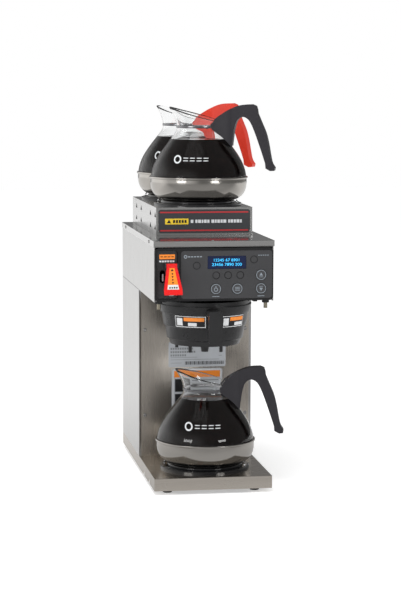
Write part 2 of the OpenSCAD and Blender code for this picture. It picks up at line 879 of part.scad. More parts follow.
// Pressed steel bottom, with the seam rolled round the glass
module bottom() {
    steel = 0.9;
    side = bezier([[60, 0], [76, 2], [84.5, 12], [85.3, seam_h - 3]], 12);
    shell = concat(
        [[0, 1.5], [48, 1.5], [51, 0]], side, [[85.3, seam_h - 2]],
        [[seam_r - 0.5, seam_h - 2], [seam_r, seam_h - 1.4]],
        [[seam_r, seam_h + 1.2], [seam_r - 0.6, seam_h + 1.8]],
        [[bowl_r + 0.1, seam_h + 1.8], [bowl_r + 0.1, seam_h]],
        [[bowl_r - glass_t, seam_h], [bowl_r - glass_t, seam_h - steel]],
        [[85.3 - steel, seam_h - steel], [85.3 - steel, seam_h - 3]],
        [for (i = [len(side) - 2:-1:1]) [side[i][0] - steel, side[i][1] + steel]],
        [[51, steel], [48, 1.5 + steel], [0, 1.5 + steel]]
    );
    rotate_extrude($fn = 96) polygon(shell);
}

// Steel strap round the throat, drawn together behind the handle
module band() {
    place(0, 0, neck_low + 0.2) tube(throat_r + 1, throat_r + 0.1, 3.6);
}

// Ring of points round a handle section: c is [out, up, half depth, half width], a its slope
function handle_ring(c, a) = [
    for (i = [0:15])
        let (
            q = i * 22.5,
            u = c[2] * sign(cos(q)) * pow(abs(cos(q)), 0.75),
            v = c[3] * sign(sin(q)) * pow(abs(sin(q)), 0.75)
        )
            [c[0] - u * sin(a), v, c[1] + u * cos(a)]
];

function spline(p, i, t) =
    0.5 * (2 * p[i] + (p[i + 1] - p[i - 1]) * t
        + (2 * p[i - 1] - 5 * p[i] + 4 * p[i + 1] - p[i + 2]) * t * t
        + (3 * p[i] - p[i - 1] - 3 * p[i + 1] + p[i + 2]) * t * t * t);

// Solid through a list of rings that all have the same number of points
module loft(rings) {
    n = len(rings[0]);
    last = len(rings) - 1;
    points = [for (r = rings) for (p = r) p];
    sides = [
        for (k = [0:last - 1]) for (i = [0:n - 1])
            let (a = k * n + i, b = k * n + (i + 1) % n)
                each [[a, b, a + n], [b, b + n, a + n]]
    ];
    polyhedron(points, concat(
        sides,
        [[for (i = [n - 1:-1:0]) i]],
        [[for (i = [0:n - 1]) last * n + i]]
    ));
}

// Upright slice of the handle's saddle, at a distance out from the axis
module saddle_slice(out, up, thick, high, wide) {
    translate([out, 0, seam_h + up]) rotate([0, 90, 0]) linear_extrude(thick)
        square([high, wide], center = true);
}

module handle() {
    steps = 3;
    path = [
        for (i = [1:len(handle_path) - 3]) for (k = [0:steps - 1])
            spline(handle_path, i, k / steps)
    ];
    ends = concat(path, [handle_path[len(handle_path) - 2]]);
    rings = [
        for (i = [0:len(ends) - 1])
            let (
                before = ends[max(0, i - 1)],
                after = ends[min(len(ends) - 1, i + 1)],
                slope = atan2(after[1] - before[1], after[0] - before[0])
            )
                handle_ring([ends[i][0], ends[i][1] + seam_h, ends[i][2], ends[i][3]], slope)
    ];
    loft(rings);
    // saddle that hugs the throat and reaches down the shoulder
    difference() {
        hull() {
            saddle_slice(24, 87, 2, 9, 62);
            saddle_slice(36, 72, 2, 9, 40);
            saddle_slice(52, 106, 8, 22, 24);
            saddle_slice(58, 57, 5, 8, 22);
        }
        rotate_extrude($fn = 96) polygon(concat(
            [[0, seam_h]], [for (p = glass_line) [p[0] + 1.6, p[1] + 0.4]],
            [[throat_r + 1.6, neck_low + 8], [throat_r + 5, seam_h + 140], [0, seam_h + 140]]
        ));
    }
}

// ---------------------------------------------------------------- decanters in place

module at_lower() {
    translate(warmer_spots[0] + [1, 0, warmer_h]) rotate([0, 0, -lower_turn]) children();
}

module at_upper_front() {
    translate(warmer_spots[1] + [1.5, 0, warmer_h]) rotate([0, 0, -front_turn]) children();
}

module at_upper_rear() {
    translate(warmer_spots[2] + [1.5, 0, warmer_h]) rotate([0, 0, -rear_turn]) children();
}

module lower_bowl() {
    color([0.8, 0.85, 0.88, 0.4]) at_lower() bowl();
}

module lower_bottom() {
    color("silver") at_lower() bottom();
}

module lower_band() {
    color("gray") at_lower() band();
}

module lower_handle() {
    color([0.12, 0.12, 0.14]) at_lower() handle();
}

module front_bowl() {
    color([0.8, 0.85, 0.88, 0.4]) at_upper_front() bowl();
}

module front_bottom() {
    color("silver") at_upper_front() bottom();
}

module front_band() {
    color("gray") at_upper_front() band();
}

module front_handle() {
    color([0.12, 0.12, 0.14]) at_upper_front() handle();
}

module rear_bowl() {
    color([0.8, 0.85, 0.88, 0.4]) at_upper_rear() bowl();
}

module rear_bottom() {
    color("silver") at_upper_rear() bottom();
}

module rear_band() {
    color("gray") at_upper_rear() band();
}

module rear_handle() {
    color("orangered") at_upper_rear() handle();
}

base_pan();
feet();
trunk_wrap();
splash_panel();
splash_screws();
splash_labels();
hood_shell();
hood_lid();
hood_screws();
pin_grommets();
hood_pins();
funnel_rails();
console();
touch_overlay();
display();
circuit_board();
power_module();
faucet_surround();
faucet_body();
faucet_lever();
lever_label();
spray_head();
spray_tube();
tank();
tank_lid();
tank_heater();
tank_probes();
limit_thermostat();
inlet_valve();
inlet_fitting();
inlet_hose();
cord_gland();
rocker_frame();
power_rocker();
warmer_rings();
warmer_plates();
warmer_elements();
warmer_housing();
housing_decal();
funnel();
funnel_rack();
funnel_labels();
key_up();
key_down();
key_set();
key_brew();
lower_bowl();
lower_bottom();
lower_band();
lower_handle();
front_bowl();
front_bottom();
front_band();
front_handle();
rear_bowl();
rear_bottom();
rear_band();
rear_handle();
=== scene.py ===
"""Looks for a single-width coffee brewer, laid out as an add-on and run as a script."""

import json
import math

import bmesh
import bpy
from mathutils import Matrix, Vector


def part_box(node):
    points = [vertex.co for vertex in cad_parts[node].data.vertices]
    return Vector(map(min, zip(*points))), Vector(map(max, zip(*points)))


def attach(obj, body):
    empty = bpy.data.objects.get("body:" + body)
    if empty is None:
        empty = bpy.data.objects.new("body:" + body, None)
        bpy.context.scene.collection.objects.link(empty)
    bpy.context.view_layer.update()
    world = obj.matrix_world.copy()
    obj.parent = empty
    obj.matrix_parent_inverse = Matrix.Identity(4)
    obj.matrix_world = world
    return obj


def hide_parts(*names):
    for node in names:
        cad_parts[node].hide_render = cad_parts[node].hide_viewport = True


bl_info = {
    "name": "Coffee Brewer",
    "version": (1, 0, 0),
    "blender": (4, 5, 0),
    "location": "View3D > Sidebar > Brewer",
    "description": "Builds the finishes and fine pieces of a three-warmer coffee brewer",
    "category": "Add Mesh",
}

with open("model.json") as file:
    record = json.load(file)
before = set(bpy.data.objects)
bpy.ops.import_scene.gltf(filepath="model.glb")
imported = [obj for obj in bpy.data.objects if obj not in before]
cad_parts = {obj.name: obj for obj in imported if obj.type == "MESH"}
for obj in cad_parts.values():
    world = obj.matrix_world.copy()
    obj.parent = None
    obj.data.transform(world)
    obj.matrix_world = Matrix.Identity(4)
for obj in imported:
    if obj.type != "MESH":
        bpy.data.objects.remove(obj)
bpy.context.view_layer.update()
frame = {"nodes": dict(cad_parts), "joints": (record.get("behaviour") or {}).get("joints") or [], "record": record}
MM = 0.001
SHARP = math.radians(28)


# ------------------------------------------------------------------ settings

def length_prop(name, text, value, low=0.0, high=1.0):
    return bpy.props.FloatProperty(
        name=name, description=text, default=value, min=low, max=high,
        subtype="DISTANCE", unit="LENGTH", precision=4)


def colour_prop(name, text, value):
    return bpy.props.FloatVectorProperty(
        name=name, description=text, default=value, size=3, min=0.0, max=1.0, subtype="COLOR")


def turn_prop(name, text, degrees):
    return bpy.props.FloatProperty(
        name=name, description=text, default=math.radians(degrees), subtype="ANGLE", unit="ROTATION")


class BrewerSizes(bpy.types.PropertyGroup):
    """Sizes of the pieces that are shaped here."""

    edge: length_prop("Sheet edge", "Radius of a folded sheet edge", 0.0009)
    moulded_edge: length_prop("Moulded edge", "Radius of a moulded plastic edge", 0.0012)
    seam: length_prop("Seam height", "Decanter seam above the decanter's base", 0.040)
    bowl: length_prop("Bowl radius", "Glass radius just above the seam", 0.0845)
    throat: length_prop("Throat radius", "Glass radius at its narrowest", 0.0385)
    glass: length_prop("Glass wall", "Thickness of the glass", 0.0018)
    lower_coffee: length_prop("Lower coffee", "Top of the lower decanter's coffee above the seam", 0.0735)
    upper_coffee: length_prop("Upper coffee", "Top of the upper decanters' coffee above the seam", 0.0670)
    grip: length_prop("Handle half width", "Half the width of a decanter's handle", 0.0105)
    saddle: length_prop("Saddle half width", "Half the width of the handle's saddle at the throat", 0.0330)
    handle_edge: length_prop("Handle edge", "Radius of the handle's moulded edges", 0.0024)
    print_lift: length_prop("Print lift", "How far a printed mark stands off its surface", 0.00015)
    lower_turn: turn_prop("Lower turn", "Turn of the lower decanter's handle towards the front", 11)
    front_turn: turn_prop("Front turn", "Turn of the upper front decanter's handle", 18)
    rear_turn: turn_prop("Rear turn", "Turn of the upper rear decanter's handle", 28)


class BrewerColours(bpy.types.PropertyGroup):
    """Colours of the finishes."""

    steel: colour_prop("Brushed steel", "Brushed stainless sheet", (0.68, 0.625, 0.56))
    bright: colour_prop("Bright steel", "Bright-rolled stainless sheet", (0.75, 0.745, 0.735))
    charcoal: colour_prop("Charcoal", "Moulded charcoal plastic", (0.030, 0.030, 0.032))
    overlay: colour_prop("Overlay", "Touch overlay film", (0.042, 0.042, 0.045))
    mark: colour_prop("Printed mark", "Light grey printing on the overlay", (0.24, 0.275, 0.31))
    red: colour_prop("Lever red", "Red of the faucet lever", (0.76, 0.008, 0.008))
    orange: colour_prop("Label orange", "Orange field of a label", (0.95, 0.26, 0.02))
    yellow: colour_prop("Label yellow", "Yellow field of the caution strip", (0.90, 0.62, 0.03))
    stripe: colour_prop("Stripe red", "Red stripes of the caution strip", (0.52, 0.025, 0.03))
    handle_orange: colour_prop("Orange handle", "Handle of the rear decanter", (0.72, 0.040, 0.018))
    coffee: colour_prop("Coffee", "Brewed coffee", (0.004, 0.0024, 0.0020))
    glow: colour_prop("Display glow", "Lit characters of the display", (0.03, 0.40, 0.74))
    floor: colour_prop("Floor", "Studio floor", (0.93, 0.93, 0.93))


def sizes():
    return bpy.context.scene.brewer_sizes


def colours():
    return bpy.context.scene.brewer_colours


# ------------------------------------------------------------------ shader node groups

def group_start(name, inputs, outputs):
    """New node group with its sockets, and its start and end nodes."""
    tree = bpy.data.node_groups.new(name, "ShaderNodeTree")
    for label, kind, value in inputs:
        socket = tree.interface.new_socket(label, in_out="INPUT", socket_type=kind)
        socket.default_value = value
    for label, kind in outputs:
        tree.interface.new_socket(label, in_out="OUTPUT", socket_type=kind)
    return tree, tree.nodes.new("NodeGroupInput"), tree.nodes.new("NodeGroupOutput")


def object_noise(tree, vector, detail, roughness):
    """Noise in object space, scaled by a vector socket."""
    place = tree.nodes.new("ShaderNodeTexCoord")
    scale = tree.nodes.new("ShaderNodeVectorMath")
    scale.operation = "MULTIPLY"
    noise = tree.nodes.new("ShaderNodeTexNoise")
    noise.inputs["Scale"].default_value = 1.0
    noise.inputs["Detail"].default_value = detail
    noise.inputs["Roughness"].default_value = roughness
    tree.links.new(place.outputs["Object"], scale.inputs[0])
    tree.links.new(vector, scale.inputs[1])
    tree.links.new(scale.outputs[0], noise.inputs["Vector"])
    return noise.outputs["Fac"]


def map_range(tree, value, low, high, to_low, to_high):
    """Stretches a value from one range to another, whose ends are numbers or sockets."""
    node = tree.nodes.new("ShaderNodeMapRange")
    node.inputs["From Min"].default_value = low
    node.inputs["From Max"].default_value = high
    for label, target in (("To Min", to_low), ("To Max", to_high)):
        if isinstance(target, bpy.types.NodeSocket):
            tree.links.new(target, node.inputs[label])
        else:
            node.inputs[label].default_value = target
    tree.links.new(value, node.inputs["Value"])
    return node.outputs["Result"]


def brushed_group():
    """Long fine scratches, and broad bands across them, as a brushing belt leaves them."""
    tree, start, end = group_start(
        "Brushed grain",
        [("Fine", "NodeSocketVector", (2200.0, 2200.0, 9.0)),
         ("Broad", "NodeSocketVector", (60.0, 60.0, 1.5))],
        [("Grain", "NodeSocketFloat"), ("Bands", "NodeSocketFloat")])
    fine = object_noise(tree, start.outputs["Fine"], 3.0, 0.6)
    broad = object_noise(tree, start.outputs["Broad"], 2.0, 0.5)
    tree.links.new(fine, end.inputs["Grain"])
    tree.links.new(broad, end.inputs["Bands"])
    return tree


def moulded_group():
    """Spark-eroded mould texture and the slow unevenness of a moulded wall."""
    tree, start, end = group_start(
        "Moulded texture",
        [("Grain size", "NodeSocketVector", (1500.0, 1500.0, 1500.0)),
         ("Patch size", "NodeSocketVector", (28.0, 28.0, 28.0))],
        [("Grain", "NodeSocketFloat"), ("Patches", "NodeSocketFloat")])
    tree.links.new(object_noise(tree, start.outputs["Grain size"], 2.0, 0.55), end.inputs["Grain"])
    tree.links.new(object_noise(tree, start.outputs["Patch size"], 3.0, 0.5), end.inputs["Patches"])
    return tree


def handling_group():
    """Mask of faint smears where hands and cloths have been."""
    tree, start, end = group_start(
        "Handling smears",
        [("Smear size", "NodeSocketVector", (34.0, 34.0, 22.0))],
        [("Mask", "NodeSocketFloat")])
    smear = object_noise(tree, start.outputs["Smear size"], 5.0, 0.62)
    tree.links.new(map_range(tree, smear, 0.48, 0.72, 0.0, 1.0), end.inputs["Mask"])
    return tree


def use_group(tree, group, **values):
    """Places a node group and sets its named inputs."""
    node = tree.nodes.new("ShaderNodeGroup")
    node.node_tree = bpy.data.node_groups[group]
    for label, value in values.items():
        node.inputs[label.replace("_", " ").capitalize()].default_value = value
    return node


def blend_colours(tree, factor, first, second):
    """Colour between two, by a mask."""
    node = tree.nodes.new("ShaderNodeMix")
    node.data_type = "RGBA"
    node.inputs["A"].default_value = (*first, 1.0)
    node.inputs["B"].default_value = (*second, 1.0)
    tree.links.new(factor, node.inputs["Factor"])
    return node.outputs["Result"]


def shade(colour, amount):
    """A colour made darker or lighter."""
    return tuple(min(1.0, c * amount) for c in colour)


def new_material(name):
    """Material with its node tree and its shader."""
    mat = bpy.data.materials.new(name)
    mat.use_nodes = True
    tree = mat.node_tree
    return mat, tree, tree.nodes["Principled BSDF"]


def bump_from(tree, shader, height, depth):
    """Fine relief from a grain, as deep as the real one."""
    bump = tree.nodes.new("ShaderNodeBump")
    bump.inputs["Strength"].default_value = 1.0
    bump.inputs["Distance"].default_value = depth
    tree.links.new(height, bump.inputs["Height"])
    tree.links.new(bump.outputs["Normal"], shader.inputs["Normal"])


def smeared_roughness(tree, shader, base, share):
    """Roughness that the handling smears raise or lower by a share."""
    smears = use_group(tree, "Handling smears")
    mixed = tree.nodes.new("ShaderNodeMath")
    mixed.operation = "MULTIPLY_ADD"
    mixed.inputs[1].default_value = share
    tree.links.new(smears.outputs["Mask"], mixed.inputs[0])
    tree.links.new(base, mixed.inputs[2])
    tree.links.new(mixed.outputs[0], shader.inputs["Roughness"])


# ------------------------------------------------------------------ finishes

def brushed_metal(name, colour, along, rough=(0.22, 0.38), depth=0.000012, band=0.12):
    """Stainless sheet brushed along one axis (0, 1 or 2)."""
    mat, tree, shader = new_material(name)
    fine = [2400.0, 2400.0, 2400.0]
    broad = [70.0, 70.0, 70.0]
    fine[along] = 10.0
    broad[along] = 1.4
    grain = use_group(tree, "Brushed grain", fine=fine, broad=broad)
    shader.inputs["Metallic"].default_value = 1.0
    tone = blend_colours(tree, grain.outputs["Bands"], shade(colour, 1 - band), shade(colour, 1 + band))
    tree.links.new(tone, shader.inputs["Base Color"])
    smeared_roughness(tree, shader, map_range(tree, grain.outputs["Grain"], 0.3, 0.7, *rough), 0.05)
    bump_from(tree, shader, grain.outputs["Grain"], depth)
    return mat


def plain_metal(name, colour, rough=(0.12, 0.2), metallic=1.0):
    """Turned, drawn or plated metal with a slightly uneven polish."""
    mat, tree, shader = new_material(name)
    texture = use_group(tree, "Moulded texture", grain_size=(900.0,) * 3, patch_size=(60.0,) * 3)
    shader.inputs["Metallic"].default_value = metallic
    tone = blend_colours(tree, texture.outputs["Patches"], shade(colour, 0.93), shade(colour, 1.06))
    tree.links.new(tone, shader.inputs["Base Color"])
    tree.links.new(map_range(tree, texture.outputs["Grain"], 0.3, 0.7, *rough), shader.inputs["Roughness"])
    return mat


def moulded(name, colour, rough=(0.38, 0.5), depth=0.00003, grain=1500.0, coat=0.0):
    """Moulded plastic, rubber or enamel, with its grain and faint smears."""
    mat, tree, shader = new_material(name)
    texture = use_group(tree, "Moulded texture", grain_size=(grain,) * 3)
    tone = blend_colours(tree, texture.outputs["Patches"], shade(colour, 0.88), shade(colour, 1.14))
    tree.links.new(tone, shader.inputs["Base Color"])
    smeared_roughness(tree, shader, map_range(tree, texture.outputs["Patches"], 0.3, 0.7, *rough), -0.06)
    shader.inputs["Coat Weight"].default_value = coat
    shader.inputs["Coat Roughness"].default_value = 0.08
    if depth:
        bump_from(tree, shader, texture.outputs["Grain"], depth)
    return mat


def printed(name, colour, rough=(0.35, 0.5)):
    """Ink or film of one colour, faintly mottled."""
    return moulded(name, colour, rough=rough, depth=0.000004, grain=2500.0)


def glowing(name, colour, strength):
    """Lit display characters, slightly uneven."""
    mat, tree, shader = new_material(name)
    texture = use_group(tree, "Moulded texture", patch_size=(240.0,) * 3)
    tone = blend_colours(tree, texture.outputs["Patches"], shade(colour, 0.7), shade(colour, 1.3))
    tree.links.new(tone, shader.inputs["Emission Color"])
    tree.links.new(tone, shader.inputs["Base Color"])
    shader.inputs["Emission Strength"].default_value = strength
    return mat


def clear_glass(name):
    """Clear blown glass with a faint unevenness from blowing."""
    mat, tree, shader = new_material(name)
    texture = use_group(tree, "Moulded texture", grain_size=(30.0,) * 3)
    shader.inputs["Base Color"].default_value = (0.985, 0.99, 0.99, 1.0)
    shader.inputs["Roughness"].default_value = 0.0
    shader.inputs["Metallic"].default_value = 0.0
    shader.inputs["IOR"].default_value = 1.46
    shader.inputs["Transmission Weight"].default_value = 1.0
    bump_from(tree, shader, texture.outputs["Grain"], 0.00005)
    return mat


def liquid(name, colour):
    """Black coffee, a little lighter in random patches."""
    mat, tree, shader = new_material(name)
    texture = use_group(tree, "Moulded texture", patch_size=(40.0,) * 3)
    tone = blend_colours(tree, texture.outputs["Patches"], colour, shade(colour, 1.8))
    tree.links.new(tone, shader.inputs["Base Color"])
    shader.inputs["Roughness"].default_value = 0.07
    shader.inputs["IOR"].default_value = 1.34
    shader.inputs["Specular IOR Level"].default_value = 0.05
    return mat


def spun_steel(name, colour):
    """Deep-drawn decanter bottom, polished round its axis."""
    mat, tree, shader = new_material(name)
    rings = use_group(tree, "Brushed grain", fine=(18.0, 18.0, 2600.0), broad=(12.0, 12.0, 160.0))
    shader.inputs["Metallic"].default_value = 1.0
    tone = blend_colours(tree, rings.outputs["Bands"], shade(colour, 0.94), shade(colour, 1.05))
    tree.links.new(tone, shader.inputs["Base Color"])
    tree.links.new(map_range(tree, rings.outputs["Grain"], 0.3, 0.7, 0.10, 0.20), shader.inputs["Roughness"])
    bump_from(tree, shader, rings.outputs["Grain"], 0.000004)
    return mat


def board_finish(name):
    """Green circuit board with paler copper runs under its lacquer."""
    mat, tree, shader = new_material(name)
    place = tree.nodes.new("ShaderNodeTexCoord")
    runs = tree.nodes.new("ShaderNodeTexBrick")
    runs.inputs["Scale"].default_value = 90.0
    runs.inputs["Mortar Size"].default_value = 0.03
    runs.inputs["Color1"].default_value = (0.012, 0.10, 0.035, 1.0)
    runs.inputs["Color2"].default_value = (0.014, 0.12, 0.04, 1.0)
    runs.inputs["Mortar"].default_value = (0.05, 0.25, 0.09, 1.0)
    turn = tree.nodes.new("ShaderNodeMapping")
    turn.inputs["Rotation"].default_value = (math.radians(90), 0.0, 0.0)
    tree.links.new(place.outputs["Object"], turn.inputs["Vector"])
    tree.links.new(turn.outputs["Vector"], runs.inputs["Vector"])
    tree.links.new(runs.outputs["Color"], shader.inputs["Base Color"])
    shader.inputs["Roughness"].default_value = 0.35
    return mat


def make_finishes():
    """Every finish of the brewer."""
    c = colours()
    brushed_group()
    moulded_group()
    handling_group()
    brushed_metal("Upright steel", tuple(c.steel), 2)
    brushed_metal("Side steel", tuple(c.bright), 2, rough=(0.25, 0.36), band=0.03)
    brushed_metal("Base steel", tuple(c.steel), 0, rough=(0.16, 0.28))
    brushed_metal("Bright steel", tuple(c.bright), 1, rough=(0.07, 0.13), depth=0.000004, band=0.03)
    brushed_metal("Housing steel", tuple(c.bright), 1, rough=(0.14, 0.22), depth=0.000006, band=0.03)
    spun_steel("Drawn steel", (0.52, 0.495, 0.46))
    plain_metal("Strap steel", (0.26, 0.26, 0.27), (0.2, 0.3))
    plain_metal("Screw steel", (0.62, 0.61, 0.60), (0.2, 0.32))
    plain_metal("Chrome", (0.82, 0.82, 0.83), (0.03, 0.08))
    plain_metal("Old pin metal", (0.46, 0.42, 0.33), (0.28, 0.42))
    plain_metal("Brass", (0.72, 0.52, 0.22), (0.2, 0.32))
    plain_metal("Element sheath", (0.20, 0.15, 0.12), (0.45, 0.6), 0.8)
    moulded("Foot rubber", (0.018, 0.018, 0.018), (0.6, 0.75), 0.00008, 900.0)
    moulded("Charcoal plastic", tuple(c.charcoal), (0.42, 0.55), 0.00004)
    # near-black material: painted shade for the insides seen through the vents
    moulded("Painted shade inside", (0.006, 0.006, 0.006), (0.6, 0.8), 0.00002)
    moulded("Console rim", (0.010, 0.010, 0.011), (0.25, 0.36), 0.00001)
    moulded("Overlay film", tuple(c.overlay), (0.42, 0.52), 0.00002, 2600.0)
    moulded("Key film", shade(tuple(c.overlay), 1.25), (0.4, 0.5), 0.00002, 2600.0)
    moulded("Funnel plastic", (0.017, 0.017, 0.018), (0.26, 0.38), 0.00003, 1100.0)
    moulded("Grip plastic", (0.014, 0.014, 0.015), (0.34, 0.46), 0.00004, 1000.0)
    moulded("Handle black", (0.024, 0.022, 0.028), (0.45, 0.56), 0.00005, 1300.0)
    moulded("Handle orange", tuple(c.handle_orange), (0.42, 0.54), 0.00005, 1300.0)
    moulded("Lever red", tuple(c.red), (0.28, 0.38), 0.00001, 1300.0, coat=0.3)
    moulded("Warmer enamel", (0.008, 0.008, 0.009), (0.10, 0.18), 0.00003, 420.0, coat=0.5)
    moulded("Silicone", (0.72, 0.71, 0.68), (0.4, 0.55), 0.00003, 700.0)
    moulded("Ceramic", (0.78, 0.75, 0.66), (0.35, 0.5), 0.00002)
    moulded("Painted module", (0.10, 0.12, 0.13), (0.4, 0.52), 0.00002)
    moulded("Display glass", (0.004, 0.010, 0.045), (0.10, 0.16), 0.0, 1000.0, coat=0.4)
    printed("White label", (0.70, 0.71, 0.72))
    printed("Grey plate", (0.47, 0.49, 0.52))
    printed("Grey ink", (0.22, 0.23, 0.24))
    printed("Black ink", (0.012, 0.012, 0.013))
    printed("White ink", (0.72, 0.74, 0.76))
    printed("Overlay ink", tuple(c.mark))
    printed("Orange ink", tuple(c.orange))
    printed("Yellow ink", tuple(c.yellow))
    printed("Red ink", tuple(c.stripe))
    printed("Decal film", (0.045, 0.047, 0.052))
    glowing("Display glow", tuple(c.glow), 1.2)
    board_finish("Circuit board")
    clear_glass("Clear glass")
    liquid("Black coffee", tuple(c.coffee))


FINISH = {
    "base_pan": "Base steel", "feet": "Foot rubber", "trunk_wrap": "Side steel",
    "splash_panel": "Upright steel", "splash_screws": "Screw steel", "splash_labels": "Grey plate",
    "hood_shell": "Side steel", "hood_lid": "Bright steel", "hood_screws": "Screw steel",
    "pin_grommets": "Foot rubber", "hood_pins": "Old pin metal", "funnel_rails": "Charcoal plastic",
    "console": "Console rim", "touch_overlay": "Overlay film", "display": "Display glass",
    "circuit_board": "Circuit board", "power_module": "Painted module",
    "faucet_surround": "Charcoal plastic", "faucet_body": "Chrome", "faucet_lever": "Lever red",
    "lever_label": "Orange ink", "spray_head": "Bright steel", "spray_tube": "Silicone",
    "tank": "Side steel", "tank_lid": "Bright steel", "tank_heater": "Element sheath",
    "tank_probes": "Brass", "limit_thermostat": "Ceramic", "inlet_valve": "Painted module",
    "inlet_fitting": "Brass", "inlet_hose": "Silicone", "cord_gland": "Charcoal plastic",
    "rocker_frame": "Charcoal plastic", "power_rocker": "Console rim",
    "warmer_rings": "Warmer enamel", "warmer_plates": "Warmer enamel",
    "warmer_elements": "Element sheath", "warmer_housing": "Housing steel",
    "housing_decal": "Decal film", "funnel": "Funnel plastic", "funnel_rack": "Chrome",
    "funnel_labels": "White label",
    "key_up": "Key film", "key_down": "Key film", "key_set": "Key film", "key_brew": "Key film",
}
DECANTER_FINISH = {
    "bowl": "Clear glass", "bottom": "Drawn steel", "band": "Strap steel", "handle": "Handle black",
}


def finish_of(node):
    """Name of a node's finish."""
    if node in FINISH:
        return FINISH[node]
    return "Handle orange" if node == "rear_handle" else DECANTER_FINISH[node.split("_")[1]]


# ------------------------------------------------------------------ piece helpers


def body_of(node):
    """Body that a node moves with."""
    bodies = frame["record"]["behaviour"]["bodies"]
    return next(name for name, nodes in bodies.items() if node in nodes)


def centre_of(node):
    """Middle of a node's box at rest."""
    low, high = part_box(node)
    return [(a + b) / 2 for a, b in zip(low, high)]


def mesh_of(name, bm):
    """Mesh that takes over a bmesh."""
    mesh = bpy.data.meshes.new(name)
    bm.to_mesh(mesh)
    bm.free()
    return mesh


def in_scene(name, data):
    """New object in the scene that shows some data."""
    shown = bpy.data.objects.new(name, data)
    bpy.context.scene.collection.objects.link(shown)
    return shown


def finish_piece(name, bm, body, material, sharp=SHARP):
    """Turns a bmesh into a piece that rides on a body and takes its finish from a slot."""
    mesh = mesh_of(name, bm)
    mesh.shade_smooth()
    mesh.set_sharp_from_angle(angle=sharp)
    piece = in_scene(name, mesh)
    mesh.materials.append(bpy.data.materials[material])
    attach(piece, body)
    return piece


def soft_edges(piece, width, segments=2, angle=SHARP):
    """Rounds a piece's sharp edges."""
    bevel = piece.modifiers.new("Edges", "BEVEL")
    bevel.width = width
    bevel.segments = segments
    bevel.limit_method = "ANGLE"
    bevel.angle_limit = angle
    bevel.use_clamp_overlap = True
    bevel.harden_normals = True


def refine(node, width, segments=2):
    """Joins a CAD node's loose triangles into clean faces and rounds its edges."""
    bm = bmesh.new()
    bm.from_mesh(frame["nodes"][node].data)
    bmesh.ops.remove_doubles(bm, verts=bm.verts[:], dist=0.000002)
    bmesh.ops.dissolve_limit(bm, angle_limit=math.radians(0.6), verts=bm.verts[:], edges=bm.edges[:])
    piece = finish_piece(node + "_finished", bm, body_of(node), finish_of(node))
    if width:
        soft_edges(piece, width, segments)
    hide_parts(node)
    return piece


def bezier(points, count):
    """Points along a cubic curve, both ends included."""
    line = []
    for i in range(count + 1):
        t = i / count
        s = 1 - t
        weights = (s ** 3, 3 * s * s * t, 3 * s * t * t, t ** 3)
        line.append(tuple(sum(w * p[k] for w, p in zip(weights, points)) for k in range(2)))
    return line


def smooth_line(points, steps=4):
    """Points along a smooth curve that passes through every given (out, up) point."""
    ends = [points[0]] + list(points) + [points[-1]]
    line = []
    for a, b, c, d in zip(ends, ends[1:], ends[2:], ends[3:]):
        for i in range(steps):
            t = i / steps
            line.append(tuple(
                0.5 * (2 * b[k] + (c[k] - a[k]) * t + (2 * a[k] - 5 * b[k] + 4 * c[k] - d[k]) * t * t
                       + (3 * b[k] - a[k] - 3 * c[k] + d[k]) * t ** 3) for k in range(2)))
    return line + [tuple(points[-1])]


def spun(profile, steps=96, closed=False):
    """Surface turned round the Z axis from (radius, height) points."""
    bm = bmesh.new()
    verts = [bm.verts.new((r, 0.0, z)) for r, z in profile]
    edges = [bm.edges.new(pair) for pair in zip(verts, verts[1:])]
    if closed:
        edges.append(bm.edges.new((verts[-1], verts[0])))
    bmesh.ops.spin(bm, geom=verts + edges, cent=(0, 0, 0), axis=(0, 0, 1), dvec=(0, 0, 0),
                   angle=2 * math.pi, steps=steps, use_merge=True, use_normal_flip=False, use_duplicate=False)
    bmesh.ops.remove_doubles(bm, verts=bm.verts[:], dist=0.00001)
    bmesh.ops.recalc_face_normals(bm, faces=bm.faces[:])
    return bm


def block(bm, low, high):
    """Adds a box between two corners and returns its vertices."""
    low = Vector(low)
    high = Vector(high)
    made = bmesh.ops.create_cube(bm, size=1.0)
    bmesh.ops.scale(bm, vec=high - low, verts=made["verts"])
    bmesh.ops.translate(bm, vec=(low + high) / 2, verts=made["verts"])
    return made["verts"]


def rod(bm, radius, depth, matrix, segments=24, tip=None):
    """Adds a round bar or, with tip, a cone, along the matrix's Z."""
    made = bmesh.ops.create_cone(
        bm, cap_ends=True, segments=segments, radius1=radius,
        radius2=radius if tip is None else tip, depth=depth, matrix=matrix)
    return made["verts"]


def facing_front(x, y, z):
    """Matrix whose Z points to the front, at a place."""
    return Matrix.Translation((x, y, z)) @ Matrix.Rotation(math.radians(90), 4, "X")


def flat_marks(name, marks, y, material, lift):
    """Thin raised marks on an upright front face: each is (x0, x1, z0, z1)."""
    bm = bmesh.new()
    for x0, x1, z0, z1 in marks:
        block(bm, (x0, y - lift, z0), (x1, y + lift * 0.5, z1))
    return finish_piece(name, bm, "brewer", material)


def ring_mark(bm, x, y, z, outer, inner, segments=40):
    """Flat ring that faces the front."""
    ring = set()
    for radius in (outer, inner):
        made = bmesh.ops.create_circle(
            bm, cap_ends=False, segments=segments, radius=radius, matrix=facing_front(x, y, z))
        ring.update(made["verts"])
    bmesh.ops.bridge_loops(bm, edges=[e for e in bm.edges if e.verts[0] in ring and e.verts[1] in ring])


# ------------------------------------------------------------------ decanters

DECANTERS = ("lower", "front", "rear")
DECANTER_BODY = {"lower": "lower_decanter", "front": "upper_front_decanter", "rear": "upper_rear_decanter"}
THROAT_UP = 0.088  # height of the glass's throat above the seam


